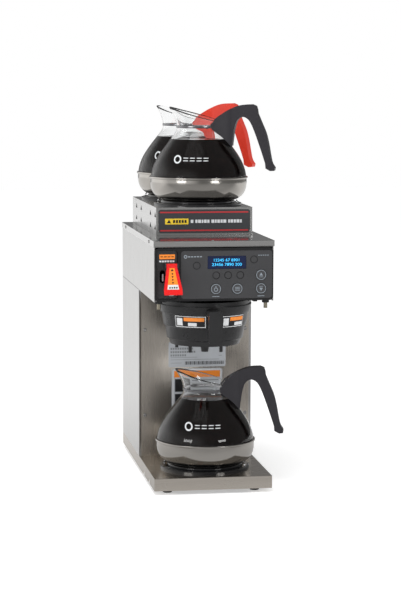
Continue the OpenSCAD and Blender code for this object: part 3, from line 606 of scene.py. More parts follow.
def decanter_place(which):
    """Matrix of a decanter: base centre on its warmer, handle along +X."""
    node = which + "_bottom"
    turn = getattr(sizes(), which + "_turn")
    base = (*centre_of(node)[:2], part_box(node)[0][2])
    return Matrix.Translation(base) @ Matrix.Rotation(-turn, 4, "Z")


def decanter_piece(which, name, bm, material, sharp=SHARP):
    """Puts a piece made round the Z axis in its decanter's place, to ride with that decanter."""
    bmesh.ops.transform(bm, matrix=decanter_place(which), verts=bm.verts[:])
    return finish_piece(which + "_" + name, bm, DECANTER_BODY[which], material, sharp)


def glass_line():
    """(radius, height) of the glass from the seam to the throat."""
    s = sizes()
    z = s.seam
    shoulder = (0.0425, z + 0.076)
    low = bezier([(s.bowl, z), (0.0825, z + 0.028), (0.064, z + 0.048), shoulder], 22)
    high = bezier([shoulder, (0.0398, z + 0.0796), (s.throat, z + 0.083), (s.throat, z + THROAT_UP)], 6)
    return low + high[1:]


def lip_height(x):
    """Height of the slanted lip above the base, at a place along the spout's direction."""
    slope = math.tan(math.radians(15.4))
    return sizes().seam + 0.0975 + (0.038 - x) * slope


def glass_radius(z):
    """Outer radius of the glass at a height above the decanter's base."""
    line = glass_line()
    for (r0, z0), (r1, z1) in zip(line, line[1:]):
        if z0 <= z <= z1:
            return r0 + (r1 - r0) * (z - z0) / (z1 - z0)
    return line[-1][0]


def bowl_mesh():
    """Glass from the seam up, whose neck flares into a slanted lip with a spout away from the handle."""
    s = sizes()
    throat_z = s.seam + THROAT_UP
    line = glass_line()
    neck = [(s.throat, throat_z + 0.003 * i) for i in range(1, 13)]
    bm = spun(line + neck, steps=128)
    top = neck[-1][1]
    for v in bm.verts:
        if v.co.z <= throat_z:
            continue
        t = (v.co.z - throat_z) / (top - throat_z)
        angle = math.atan2(v.co.y, v.co.x)
        away = max(0.0, -math.cos(angle))
        flare = 0.0016 * t ** 1.5 + 0.0030 * (abs(math.sin(angle)) ** 2) * t ** 1.5
        flare += 0.0115 * (away ** 6) * t ** 2.2 + 0.0014 * away * t
        radius = s.throat + flare
        v.co.x = radius * math.cos(angle)
        v.co.y = radius * math.sin(angle) * (1 - 0.10 * (away ** 2) * t)
        v.co.z = throat_z + t * (lip_height(v.co.x) - throat_z)
    outward = next(f for f in bm.faces if abs(f.normal.z) < 0.9)
    if outward.normal.dot(outward.calc_center_median().xy.to_3d()) < 0:
        bmesh.ops.reverse_faces(bm, faces=bm.faces[:])
    return bm


def make_bowl(which):
    """Glass bowl with its wall's thickness."""
    piece = decanter_piece(which, "glass", bowl_mesh(), "Clear glass", math.radians(60))
    wall = piece.modifiers.new("Wall", "SOLIDIFY")
    wall.thickness = sizes().glass
    wall.offset = -1.0
    wall.use_rim = True
    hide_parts(which + "_bowl")


def make_bottom(which):
    """Drawn steel bottom: a dished floor, a round side and the rolled seam that holds the glass."""
    s = sizes()
    z = s.seam
    steel = 0.0009
    side = bezier([(0.060, 0.0), (0.0765, 0.002), (0.0868, 0.014), (0.0850, z - 0.003)], 24)
    inner = [(r - steel, h + steel) for r, h in side[-2:0:-1]]
    outline = [(0.0, 0.0015), (0.048, 0.0015), (0.051, 0.0)] + side
    outline += [(0.0850, z - 0.0022), (0.0862, z - 0.0021), (0.0868, z - 0.0016), (0.0870, z - 0.0008),
                (0.0870, z + 0.0008), (0.0868, z + 0.0014), (0.0862, z + 0.0018), (0.0846, z + 0.0018)]
    outline += [(0.0846, z), (0.0822, z), (0.0822, z - steel), (0.0844, z - steel), (0.0844, z - 0.003)]
    outline += inner + [(0.051, steel), (0.048, 0.0015 + steel), (0.0, 0.0015 + steel)]
    bm = spun(outline, steps=128)
    piece = decanter_piece(which, "steel_bottom", bm, "Drawn steel", math.radians(40))
    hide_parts(which + "_bottom")


def make_coffee(which):
    """Coffee that fills the bottom and the bowl up to its level."""
    s = sizes()
    inset = s.glass * 0.6
    level = s.seam + (s.lower_coffee if which == "lower" else s.upper_coffee)
    base = bezier([(0.060, 0.0012), (0.0748, 0.0032), (0.0832, 0.0130), (0.0832, s.seam - 0.002)], 12)
    wall = [(r - inset, z) for r, z in glass_line() if z < level - 0.0008]
    rim = glass_radius(level) - inset
    outline = [(0.0, 0.0027)] + base + [(0.0818, s.seam - 0.0012)] + wall
    outline += [(rim, level), (rim - 0.0012, level - 0.0006), (0.0, level - 0.0006)]
    decanter_piece(which, "coffee", spun(outline), "Black coffee", math.radians(50))


def wrap_on_glass(bm, which):
    """Bends flat marks, as far across as they are wide, onto the front of the glass."""
    place = decanter_place(which)
    lift = 0.0003
    for v in bm.verts:
        z = v.co.z
        radius = glass_radius(z)
        angle = math.radians(-90) + v.co.x / radius
        radius += lift
        v.co = place @ Vector((radius * math.cos(angle), radius * math.sin(angle), z))


def make_print(which):
    """A plain ring and short level dashes, printed where a maker would print on the glass."""
    z = sizes().seam + 0.0335
    bm = bmesh.new()
    ring_mark(bm, -0.0265, 0, z, 0.0072, 0.0046)
    for i in range(4):
        for up in (-0.0023, 0.0023):
            place = facing_front(-0.0110 + 0.0118 * i, 0, z + up) @ Matrix.Diagonal((0.0086, 0.0013, 1, 1))
            bmesh.ops.create_grid(bm, x_segments=4, y_segments=1, size=0.5, matrix=place)
    wrap_on_glass(bm, which)
    piece = finish_piece(which + "_glass_print", bm, DECANTER_BODY[which], "White ink")
    wall = piece.modifiers.new("Ink", "SOLIDIFY")
    wall.thickness = 0.0001
    wall.offset = 0.0


# Side outline of the handle, (out from the axis, up from the seam) in millimetres
HANDLE_TOP = ((21.3, 88), (29.5, 100), (48, 114.5), (65, 123.4), (79, 127.2), (96, 128.2))
HANDLE_CORNER = ((102.6, 125.4), (104.6, 119.5))
HANDLE_OUTER = ((105.6, 112), (112, 97), (120, 78), (124.8, 59), (128.2, 40), (131.4, 26), (136.6, 17.5))
HANDLE_HEEL = ((135.4, 12.2), (128.5, 11.8), (120.4, 16.2))
HANDLE_INNER = ((119.6, 25), (114.8, 40), (108.6, 58), (101.4, 78), (95, 93), (89.5, 101.4), (82, 105.8),
                (74.6, 104.6), (68.6, 98), (64.4, 84), (61.8, 66))
HANDLE_TOE = ((60.6, 55.2), (58, 54.6), (42.5, 65), (27, 76))


def handle_half_width(out):
    """Half the handle's width at a distance from the axis: wide at the saddle, slim along the grip."""
    s = sizes()
    start, end = HANDLE_TOP[0][0] * MM, HANDLE_TOE[0][0] * MM
    share = max(0.0, min(1.0, (end - out) / (end - start)))
    return s.grip + (s.saddle - s.grip) * share ** 1.35


def glass_clearance():
    """Solid a little larger than the glass, which hollows the handle's saddle."""
    s = sizes()
    gap = 0.0008
    wall = [(r + gap, z) for r, z in glass_line() if z > s.seam + 0.030]
    top = s.seam + 0.130
    rise = [(s.throat + gap, s.seam + 0.094), (s.throat + 0.0030, s.seam + 0.106), (s.throat + 0.0065, top)]
    return spun([(0.0, wall[0][1])] + wall + rise + [(0.0, top)], steps=96)


def carve(piece, bm):
    """Cuts a second solid out of a piece."""
    cutter = in_scene("cutter", mesh_of("cutter", bm))
    cut = piece.modifiers.new("Carve", "BOOLEAN")
    cut.operation = "DIFFERENCE"
    cut.object = cutter
    cut.solver = "EXACT"
    bpy.context.view_layer.update()
    solid = piece.evaluated_get(bpy.context.evaluated_depsgraph_get())
    carved = bpy.data.meshes.new_from_object(solid)
    piece.modifiers.clear()
    piece.data = carved
    bpy.data.objects.remove(cutter)


def make_handle(which):
    """Handle with flat sides and rounded edges, whose saddle hugs the throat and shoulder."""
    s = sizes()
    outline = smooth_line(HANDLE_TOP) + list(HANDLE_CORNER) + smooth_line(HANDLE_OUTER)
    outline += list(HANDLE_HEEL) + smooth_line(HANDLE_INNER) + list(HANDLE_TOE)
    bm = bmesh.new()
    verts = [bm.verts.new((x * MM, -1.0, s.seam + z * MM)) for x, z in outline]
    side = bm.faces.new(verts)
    moved = bmesh.ops.extrude_face_region(bm, geom=[side])["geom"]
    bmesh.ops.translate(bm, vec=(0, 2, 0), verts=[g for g in moved if isinstance(g, bmesh.types.BMVert)])
    bmesh.ops.recalc_face_normals(bm, faces=bm.faces[:])
    out = HANDLE_TOP[0][0] * MM + 0.003
    while out < HANDLE_TOE[0][0] * MM:
        bmesh.ops.bisect_plane(bm, geom=bm.verts[:] + bm.edges[:] + bm.faces[:], dist=0.00001,
                               plane_co=(out, 0, 0), plane_no=(1, 0, 0))
        out += 0.0045
    for v in bm.verts:
        v.co.y *= handle_half_width(v.co.x)
    rim = [e for e in bm.edges if e.calc_face_angle(0.0) > math.radians(55)
           and abs(e.verts[0].co.y - e.verts[1].co.y) < 0.006]
    bmesh.ops.bevel(bm, geom=rim, offset=s.handle_edge, offset_type="OFFSET", affect="EDGES", segments=3,
                    profile=0.5, material=-1, clamp_overlap=True)
    bmesh.ops.remove_doubles(bm, verts=bm.verts[:], dist=0.00005)
    node = which + "_handle"
    piece = finish_piece(which + "_moulded_handle", bm, DECANTER_BODY[which], finish_of(node))
    carve(piece, glass_clearance())
    piece.data.transform(decanter_place(which))
    piece.data.set_sharp_from_angle(angle=math.radians(40))
    piece.modifiers.new("Flat sides", "WEIGHTED_NORMAL").keep_sharp = True
    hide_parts(node)


def make_strap(which):
    """Wire strap round the throat, with its clamp screw beside the handle."""
    s = sizes()
    z = s.seam + 0.0885
    bm = spun([(s.throat + 0.0001, z - 0.0022), (s.throat + 0.0009, z - 0.0018), (s.throat + 0.0010, z),
               (s.throat + 0.0009, z + 0.0018), (s.throat + 0.0001, z + 0.0022)], steps=96, closed=True)
    clamp = Matrix.Translation((0.022, -0.0335, z)) @ Matrix.Rotation(math.radians(62), 4, "Y")
    rod(bm, 0.0020, 0.007, clamp, 16)
    piece = decanter_piece(which, "strap", bm, "Strap steel")
    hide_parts(which + "_band")


# ------------------------------------------------------------------ operators

class BREWER_OT_finishes(bpy.types.Operator):
    """Make every finish and put it on the frame's own parts"""

    bl_idname = "brewer.finishes"
    bl_label = "Finishes"

    def execute(self, context):
        make_finishes()
        for name, node in frame["nodes"].items():
            node.data.materials.clear()
            node.data.materials.append(bpy.data.materials[finish_of(name)])
        return {"FINISHED"}


def darken_inside(piece, node):
    """Paints the inner side of a casing near-black, as painted shade, so that its vents show dark."""
    low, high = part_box(node)
    wall = 0.0006
    piece.data.materials.append(bpy.data.materials["Painted shade inside"])
    for face in piece.data.polygons:
        centre = face.center
        if all(low[k] + wall < centre[k] < high[k] - wall for k in range(3)):
            face.material_index = 1


class BREWER_OT_sheet_metal(bpy.types.Operator):
    """Clean the cabinet's sheet metal, round its folded edges and put near-black painted shade inside, behind the
    vents
    """

    bl_idname = "brewer.sheet_metal"
    bl_label = "Sheet Metal"

    def execute(self, context):
        edge = sizes().edge
        for node, width in (("base_pan", edge), ("trunk_wrap", 0.0), ("hood_shell", 0.0),
                            ("splash_panel", 0.0), ("warmer_housing", 0.0005)):
            piece = refine(node, width)
            if node == "warmer_housing":
                darken_inside(piece, node)
        # near-black sheets inside the housing's sides: painted shade behind the vents
        low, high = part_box("warmer_housing")
        inset = 0.0016
        film = 0.0002
        ends = 0.020
        bm = bmesh.new()
        for x in (low[0] + inset, high[0] - inset - film):
            block(bm, (x, low[1] + ends, low[2] + 0.001), (x + film, high[1] - ends, high[2] - 0.004))
        finish_piece("housing_painted_shade_sheets", bm, "brewer", "Painted shade inside")
        return {"FINISHED"}


def blacken_faucet_ears(piece):
    """The ears that hold the lever's pin are moulded plastic; the spout stays chrome."""
    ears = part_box("faucet_body")[1][2] - 0.0085
    piece.data.materials.append(bpy.data.materials["Charcoal plastic"])
    for face in piece.data.polygons:
        if face.center.z > ears:
            face.material_index = 1


class BREWER_OT_mouldings(bpy.types.Operator):
    """Round the edges of the moulded and machined pieces"""

    bl_idname = "brewer.mouldings"
    bl_label = "Mouldings"

    def execute(self, context):
        soft = sizes().moulded_edge
        for node, width in (("console", 0.0008), ("touch_overlay", 0.0), ("faucet_surround", 0.0),
                            ("faucet_lever", 0.0007), ("faucet_body", 0.0004), ("funnel", 0.0006),
                            ("warmer_rings", 0.0), ("warmer_plates", 0.0), ("feet", 0.0005),
                            ("funnel_rails", 0.0004), ("housing_decal", 0.0), ("cord_gland", 0.0005),
                            ("rocker_frame", 0.0004), ("power_rocker", 0.0005), ("inlet_fitting", 0.0003),
                            ("splash_screws", 0.0), ("hood_pins", 0.0003), ("splash_labels", 0.0),
                            ("key_up", 0.0002), ("key_down", 0.0002), ("key_set", 0.0002),
                            ("key_brew", 0.0002)):
            piece = refine(node, min(width, soft))
            if node == "faucet_body":
                blacken_faucet_ears(piece)
        return {"FINISHED"}


class BREWER_OT_decanters(bpy.types.Operator):
    """Make the glass, steel bottom, strap, handle and print of the three decanters"""

    bl_idname = "brewer.decanters"
    bl_label = "Decanters"

    def execute(self, context):
        for which in DECANTERS:
            make_bottom(which)
            make_bowl(which)
            make_handle(which)
            make_strap(which)
            make_print(which)
        return {"FINISHED"}


class BREWER_OT_coffee(bpy.types.Operator):
    """Fill the three decanters with coffee"""

    bl_idname = "brewer.coffee"
    bl_label = "Coffee"

    def execute(self, context):
        for which in DECANTERS:
            make_coffee(which)
        return {"FINISHED"}


def glow_text(name, words, x, y, z, stretch):
    """One row of plain lit figures on an upright front face, made a mesh."""
    curve = bpy.data.curves.new(name, "FONT")
    curve.body = words
    curve.size = 0.0068
    curve.extrude = 0.0001
    curve.align_x = "CENTER"
    curve.align_y = "CENTER"
    maker = in_scene(name + "_curve", curve)
    bpy.context.view_layer.update()
    mesh = bpy.data.meshes.new_from_object(maker)
    bpy.data.objects.remove(maker)
    mesh.transform(facing_front(x, y, z) @ Matrix.Diagonal((stretch, 1, 1, 1)))
    mesh.materials.clear()
    mesh.materials.append(bpy.data.materials["Display glow"])
    piece = in_scene(name, mesh)
    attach(piece, "brewer")


class BREWER_OT_display(bpy.types.Operator):
    """Light two rows of plain figures on the display"""

    bl_idname = "brewer.display"
    bl_label = "Display"

    def execute(self, context):
        x, y, z = centre_of("display")
        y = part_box("display")[0][1] - 0.0001
        glow_text("display_upper_row", "12345 67 8901", x - 0.0005, y, z + 0.0036, 1.12)
        glow_text("display_lower_row", "23456 7890 200", x, y, z - 0.0038, 1.15)
        return {"FINISHED"}


KEY_SYMBOL = {"key_up": "up", "key_down": "down", "key_set": "bars", "key_brew": "drop"}


class BREWER_OT_key_marks(bpy.types.Operator):
    """Print a ring and a plain symbol on each key"""

    bl_idname = "brewer.key_marks"
    bl_label = "Key Marks"

    def execute(self, context):
        lift = sizes().print_lift
        for node, symbol in KEY_SYMBOL.items():
            x, y, z = centre_of(node)
            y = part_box(node)[0][1] - lift
            bm = bmesh.new()
            ring_mark(bm, x, y, z, 0.0083, 0.0074)
            if symbol in ("up", "down"):
                sign = 1 if symbol == "up" else -1
                turn = Matrix.Rotation(math.radians(90 - 90 * sign), 4, "Z")
                place = facing_front(x, y, z + 0.0006 * sign) @ turn
                bmesh.ops.create_circle(bm, cap_ends=True, segments=3, radius=0.0036, matrix=place)
                bar = z - 0.0034 * sign
                block(bm, (x - 0.0032, y, bar - 0.0004), (x + 0.0032, y + lift, bar + 0.0004))
            elif symbol == "bars":
                for step in (-0.0024, 0.0, 0.0024):
                    block(bm, (x - 0.0042, y, z + step - 0.0005), (x + 0.0042, y + lift, z + step + 0.0005))
            else:
                ring_mark(bm, x, y, z - 0.001, 0.0034, 0.0024, 24)
                block(bm, (x - 0.0006, y, z + 0.0026), (x + 0.0006, y + lift, z + 0.0052))
            finish_piece(node + "_mark", bm, body_of(node), "Overlay ink")
        return {"FINISHED"}


# Unused key positions, across and up from the overlay's lower left corner
BLANK_SPOTS = ((0.0596, 0.0391), (0.0797, 0.0391), (0.1005, 0.0391), (0.1239, 0.0652), (0.0264, 0.0558))


class BREWER_OT_console_marks(bpy.types.Operator):
    """Print the console's plain marks and the label over the faucet lever"""

    bl_idname = "brewer.console_marks"
    bl_label = "Console Marks"

    def execute(self, context):
        lift = sizes().print_lift
        low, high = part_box("touch_overlay")
        y = low[1]
        marks = []
        for node in ("key_brew", "key_down"):
            x = centre_of(node)[0]
            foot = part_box(node)[0][2]
            marks.append((x - 0.006, x + 0.006, foot - 0.0042, foot - 0.0032))
        flat_marks("overlay_key_lines", marks, y, "Overlay ink", lift)
        bm = bmesh.new()
        for across, up in BLANK_SPOTS:
            ring_mark(bm, low[0] + across, y - lift * 0.5, low[2] + up, 0.0066, 0.0052)
        finish_piece("overlay_blank_rings", bm, "brewer", "Console rim")
        bm = bmesh.new()
        ring_mark(bm, -0.0490, y - lift, high[2] - 0.0095, 0.0030, 0.0016)
        finish_piece("overlay_ring", bm, "brewer", "Overlay ink")
        bars = []
        for i in range(5):
            left = -0.0448 + 0.0050 * i
            right = high[0] - 0.0060 - 0.0038 * i
            bars.append((left, left + 0.0036, high[2] - 0.0105, high[2] - 0.0087))
            bars.append((right - 0.0028, right, high[2] - 0.0088, high[2] - 0.0076))
        flat_marks("overlay_bars", bars, y, "Overlay ink", lift)
        slow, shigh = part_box("faucet_surround")
        face = slow[1]
        left, right = slow[0] + 0.0038, shigh[0] - 0.0038
        top = shigh[2] - 0.0060
        field = [(left, right, top - 0.0078, top)]
        flat_marks("faucet_label", field, face, "Orange ink", lift * 2)
        dashes = [(left + 0.0016 + 0.0062 * i, left + 0.0062 + 0.0062 * i, top - 0.0046, top - 0.0032)
                  for i in range(4)]
        flat_marks("faucet_label_marks", dashes, face - lift * 2, "Black ink", lift)
        row = [(left + 0.0044 * i, left + 0.0034 + 0.0044 * i, top - 0.0130, top - 0.0102) for i in range(6)]
        flat_marks("faucet_white_row", row, face, "White ink", lift)
        return {"FINISHED"}


class BREWER_OT_rating_plates(bpy.types.Operator):
    """Print plain fields and lines on the two plates of the splash panel"""

    bl_idname = "brewer.rating_plates"
    bl_label = "Rating Plates"

    def execute(self, context):
        lift = sizes().print_lift
        low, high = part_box("splash_labels")
        y = low[1]
        top = high[2]
        x0 = low[0]
        marks = []
        for end, drop in ((0.045, 0.0105), (0.047, 0.0165), (0.031, 0.0225)):
            x = 0.0035
            while x < end:
                marks.append((x0 + x, x0 + x + 0.0030, top - drop - 0.0036, top - drop))
                x += 0.0042
        flat_marks("plate_rows", marks, y, "Grey ink", lift)
        bars = []
        x = 0.030
        while x < 0.100:
            wide = (0.0008, 0.0016, 0.0011)[len(bars) % 3]
            bars.append((x0 + x, x0 + x + wide, top - 0.0415, top - 0.0355))
            x += wide + 0.0012
        flat_marks("plate_bars", bars, y, "Black ink", lift)
        lines = [(x0 + 0.004, x0 + end, top - drop, top - drop + 0.0007)
                 for end, drop in ((0.052, 0.0285), (0.092, 0.0325), (0.024, 0.0385))]
        lines += [(x0 + 0.091, x0 + 0.097, top - 0.008 - 0.006 * i, top - 0.0072 - 0.006 * i)
                  for i in range(4)]
        flat_marks("plate_lines", lines, y, "Grey ink", lift)
        # the larger caution plate, in plain fields of colour
        edge = 0.0016
        middle = centre_of("splash_labels")[0]
        left, right = middle - 0.046, middle + 0.046
        foot, head = low[2], low[2] + 0.080
        border = [(left + edge, right - edge, head - 2 * edge, head - edge),
                  (left + edge, right - edge, foot + edge, foot + 2 * edge),
                  (left + edge, left + 2 * edge, foot + edge, head - edge),
                  (right - 2 * edge, right - edge, foot + edge, head - edge)]
        flat_marks("caution_border", border, y, "White ink", lift)
        band = [(left + 0.0045, right - 0.0045, head - 0.0160, head - 0.0045)]
        flat_marks("caution_band", band, y, "Orange ink", lift)
        blocks = [(left + 0.006, left + 0.030, head - 0.0420, head - 0.0190),
                  (left + 0.006, left + 0.030, head - 0.0700, head - 0.0460)]
        flat_marks("caution_blocks", blocks, y, "Black ink", lift)
        rows = [(left + 0.035, right - 0.006 - 0.010 * (i % 2), head - 0.0225 - 0.0062 * i,
                 head - 0.0205 - 0.0062 * i) for i in range(8)]
        flat_marks("caution_rows", rows, y, "Grey ink", lift)
        return {"FINISHED"}


class BREWER_OT_lever_marks(bpy.types.Operator):
    """Put the white field and dark ticks on the faucet lever's sticker"""

    bl_idname = "brewer.lever_marks"
    bl_label = "Lever Marks"

    def execute(self, context):
        lean = math.radians(24)
        pivot = Vector(next(j for j in frame["joints"] if j["name"] == "faucet_pull")["pos_m"])
        place = Matrix.Translation(pivot) @ Matrix.Rotation(-lean, 4, "X")
        plate, sticker = 0.0036, 0.0003
        face = -plate - sticker
        bm = bmesh.new()
        verts = block(bm, (-0.0098, face - 0.0003, -0.0425), (0.0098, face, -0.0345))
        for v in verts:
            v.co.x *= 0.86 if v.co.z > -0.038 else 1.0
        bmesh.ops.transform(bm, matrix=place, verts=bm.verts[:])
        finish_piece("lever_white_field", bm, "faucet_handle", "White label")
        bm = bmesh.new()
        for i in range(4):
            x = -0.0066 + 0.0038 * i
            block(bm, (x, face - 0.0005, -0.0408), (x + 0.0024, face - 0.0002, -0.0382))
        for i in range(4):
            z = -0.0140 - 0.0052 * i
            block(bm, (-0.0012, face - 0.0003, z - 0.0022), (0.0012, face, z))
        bmesh.ops.create_circle(bm, cap_ends=True, segments=3, radius=0.0028,
                                matrix=facing_front(0, face - 0.0001, -0.0090))
        bmesh.ops.transform(bm, matrix=place, verts=bm.verts[:])
        finish_piece("lever_dark_marks", bm, "faucet_handle", "Black ink")
        return {"FINISHED"}


class BREWER_OT_caution_strip(bpy.types.Operator):
    """Put the stripes and plain fields on the upper housing's front"""

    bl_idname = "brewer.caution_strip"
    bl_label = "Caution Strip"

    def execute(self, context):
        lift = sizes().print_lift
        low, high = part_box("housing_decal")
        y = low[1]
        left, right = low[0] + 0.0030, high[0] - 0.0030
        stripes = [(left, right, high[2] - 0.0056, high[2] - 0.0032),
                   (left, right, low[2] + 0.0032, low[2] + 0.0056)]
        flat_marks("strip_stripes", stripes, y, "Red ink", lift)
        mid = centre_of("housing_decal")[2]
        field = low[0] + 0.0115
        yellow = [(field, field + 0.0410, mid - 0.0050, mid + 0.0050)]
        flat_marks("strip_yellow", yellow, y, "Yellow ink", lift)
        bm = bmesh.new()
        front = y - lift * 1.5
        bmesh.ops.create_circle(bm, cap_ends=True, segments=3, radius=0.0042,
                                matrix=facing_front(field + 0.0068, front, mid - 0.0008))
        for i in range(5):
            x = field + 0.0140 + 0.0050 * i
            block(bm, (x, front, mid - 0.0026), (x + 0.0036, y - lift, mid + 0.0026))
        finish_piece("strip_dark_marks", bm, "brewer", "Black ink")
        whites = []
        x = field + 0.0450
        while x < high[0] - 0.0130:
            step = len(whites)
            wide = (0.0046, 0.0038, 0.0052, 0.0030)[step % 4]
            whites.append((x, x + wide, mid - 0.0028, mid + 0.0028))
            x += wide + (0.0011 if step % 5 else 0.0034)
        flat_marks("strip_white_marks", whites, y, "White ink", lift)
        return {"FINISHED"}


# Radius and height of the funnel's tapered wall, under and over its labels
FUNNEL_LOW = (0.0718, 0.2808)
FUNNEL_HIGH = (0.0750, 0.302)


def funnel_patch(bm, axis, angle0, angle1, z0, z1, lift):
    """Adds a curved patch just outside the funnel's tapered wall; axis is the funnel's centre."""
    taper = (FUNNEL_HIGH[0] - FUNNEL_LOW[0]) / (FUNNEL_HIGH[1] - FUNNEL_LOW[1])
    for v in bmesh.ops.create_grid(bm, x_segments=12, y_segments=2, size=0.5)["verts"]:
        z = z0 + (z1 - z0) * (v.co.y + 0.5)
        radius = FUNNEL_LOW[0] + (z - FUNNEL_LOW[1]) * taper + lift
        angle = math.radians(angle0 + (angle1 - angle0) * (v.co.x + 0.5))
        v.co = Vector((axis[0] + radius * math.cos(angle), axis[1] + radius * math.sin(angle), z))


class BREWER_OT_funnel_marks(bpy.types.Operator):
    """Put plain coloured fields on the funnel's two labels"""

    bl_idname = "brewer.funnel_marks"
    bl_label = "Funnel Marks"

    def execute(self, context):
        axis = centre_of("funnel_rack")
        foot, head = 0.2814, 0.3006
        dark = [(a0, a1, foot + 0.0012, head - 0.0012) for a0, a1 in ((219, 261), (285, 321))]
        orange = [(a0, a1, head - 0.0085, head - 0.0022) for a0, a1 in ((232, 260), (296, 320))]
        white = [(a0, a1, foot + 0.0030, head - 0.0035) for a0, a1 in ((221, 230), (286, 294))]
        white += [(a0, a1, foot + 0.0025, head - 0.0110) for a0, a1 in ((238, 250), (304, 320))]
        for name, material, slot, patches, lift in (
                ("funnel_dark_field", "Black ink", "label_paper", dark, 0.0008),
                ("funnel_orange_field", "Orange ink", "label_orange", orange, 0.0010),
                ("funnel_white_field", "White label", "label_paper", white, 0.0010)):
            bm = bmesh.new()
            for a0, a1, z0, z1 in patches:
                funnel_patch(bm, axis, a0, a1, z0, z1, lift)
            finish_piece(name, bm, "brew_funnel", material)
        return {"FINISHED"}


class BREWER_OT_warmer_clips(bpy.types.Operator):
    """Make the small chrome clips that hold each warmer's plate"""

    bl_idname = "brewer.warmer_clips"
    bl_label = "Warmer Clips"

    def execute(self, context):
        wire = Matrix.Translation((0.0030, 0, 0)) @ Matrix.Rotation(math.radians(90), 4, "X")
        for index, which in enumerate(DECANTERS):
            node = which + "_bottom"
            x = centre_of(node)[0] - (0.001 if which == "lower" else 0.0015)
            y = centre_of(node)[1]
            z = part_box(node)[0][2] - 0.0022
            bm = bmesh.new()
            for angle in (math.radians(-24), math.radians(156)):
                loop = bmesh.ops.create_circle(
                    bm, cap_ends=False, segments=10, radius=0.0008, matrix=wire)["verts"]
                edges = [e for e in bm.edges if e.verts[0] in loop and e.verts[1] in loop]
                bmesh.ops.spin(bm, geom=loop + edges, cent=(0, 0, 0), axis=(0, 0, 1), dvec=(0, 0, 0),
                               angle=2 * math.pi, steps=20, use_merge=True)
                clip = [v for v in bm.verts if v.co.length < 0.01]
                centre = (x + 0.0722 * math.cos(angle), y + 0.0722 * math.sin(angle), z)
                turn = Matrix.Rotation(angle, 4, "Z") @ Matrix.Rotation(math.radians(70), 4, "Y")
                bmesh.ops.transform(bm, matrix=Matrix.Translation(centre) @ turn, verts=clip)
            bmesh.ops.remove_doubles(bm, verts=bm.verts[:], dist=0.00001)
            bmesh.ops.recalc_face_normals(bm, faces=bm.faces[:])
            finish_piece("warmer_clip_%d" % (index + 1), bm, "brewer", "Chrome")
        return {"FINISHED"}


class BREWER_OT_seams(bpy.types.Operator):
    """Lay dark strips of painted shade in the seam between trunk and hood and under the lid, and the beads along
    the lid's lip
    """

    bl_idname = "brewer.seams"
    bl_label = "Seams"

    def execute(self, context):
        low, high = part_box("trunk_wrap")
        hlow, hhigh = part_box("hood_shell")
        z = hlow[2]
        proud = 0.00012
        # dark strips along the seam between trunk and hood: painted shade in the seam
        bm = bmesh.new()
        for x in (low[0], high[0]):
            block(bm, (x - proud, low[1] + 0.0005, z - 0.0004), (x + proud, high[1], z + 0.0004))
        block(bm, (low[0], high[1] - proud, z - 0.0004), (high[0], high[1] + proud, z + 0.0004))
        finish_piece("hood_seam_painted_shade", bm, "brewer", "Console rim")
        llow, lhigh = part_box("hood_lid")
        bm = bmesh.new()
        for x in (hlow[0], hhigh[0]):
            block(bm, (x - proud, hlow[1] + 0.001, llow[2] - 0.0006), (x + proud, hhigh[1], llow[2] - 0.0001))
        finish_piece("lid_shadow_gap", bm, "brewer", "Console rim")
        bead = 0.0009
        bm = bmesh.new()
        for z in (llow[2] + bead * 0.8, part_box("warmer_housing")[0][2] - bead * 0.7):
            middle = Matrix.Translation(((llow[0] + lhigh[0]) / 2, llow[1] + bead * 0.6, z))
            rod(bm, bead, lhigh[0] - llow[0] - 0.004, middle @ Matrix.Rotation(math.radians(90), 4, "Y"))
        finish_piece("lid_hem", bm, "brewer", "Bright steel")
        return {"FINISHED"}


class BREWER_OT_back_fasteners(bpy.types.Operator):
    """Screw the back of the trunk and hood down"""

    bl_idname = "brewer.back_fasteners"
    bl_label = "Back Fasteners"

    def execute(self, context):
        low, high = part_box("trunk_wrap")
        hlow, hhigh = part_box("hood_shell")
        y = high[1]
        bm = bmesh.new()
        for x in (low[0] + 0.010, high[0] - 0.010):
            for z in (low[2] + 0.020, (low[2] + high[2]) / 2, high[2] - 0.015, hlow[2] + 0.020,
                      hhigh[2] - 0.030):
                place = Matrix.Translation((x, y + 0.0008, z)) @ Matrix.Rotation(math.radians(-90), 4, "X")
                rod(bm, 0.0036, 0.0016, place, 24, 0.0028)
        finish_piece("back_screws", bm, "brewer", "Screw steel")
        return {"FINISHED"}


# ------------------------------------------------------------------ stage

def area_light(name, place, target, size, power):
    """Rectangular white light at a place, turned to its target."""
    data = bpy.data.lights.new(name, "AREA")
    data.shape = "RECTANGLE"
    data.size, data.size_y = size
    data.energy = power
    lamp = in_scene(name, data)
    lamp.location = place
    lamp.rotation_euler = (Vector(target) - Vector(place)).to_track_quat("-Z", "Y").to_euler()
    return lamp


def multiply(tree, a, b):
    """Product of two values."""
    node = tree.nodes.new("ShaderNodeMath")
    node.operation = "MULTIPLY"
    tree.links.new(a, node.inputs[0])
    tree.links.new(b, node.inputs[1])
    return node.outputs[0]


def mirror_rays(tree):
    """1 for rays that a surface mirrors, 0 for those that look straight or through glass."""
    light = tree.nodes.new("ShaderNodeLightPath")
    return multiply(tree, light.outputs["Is Glossy Ray"], light.outputs["Is Reflection Ray"])


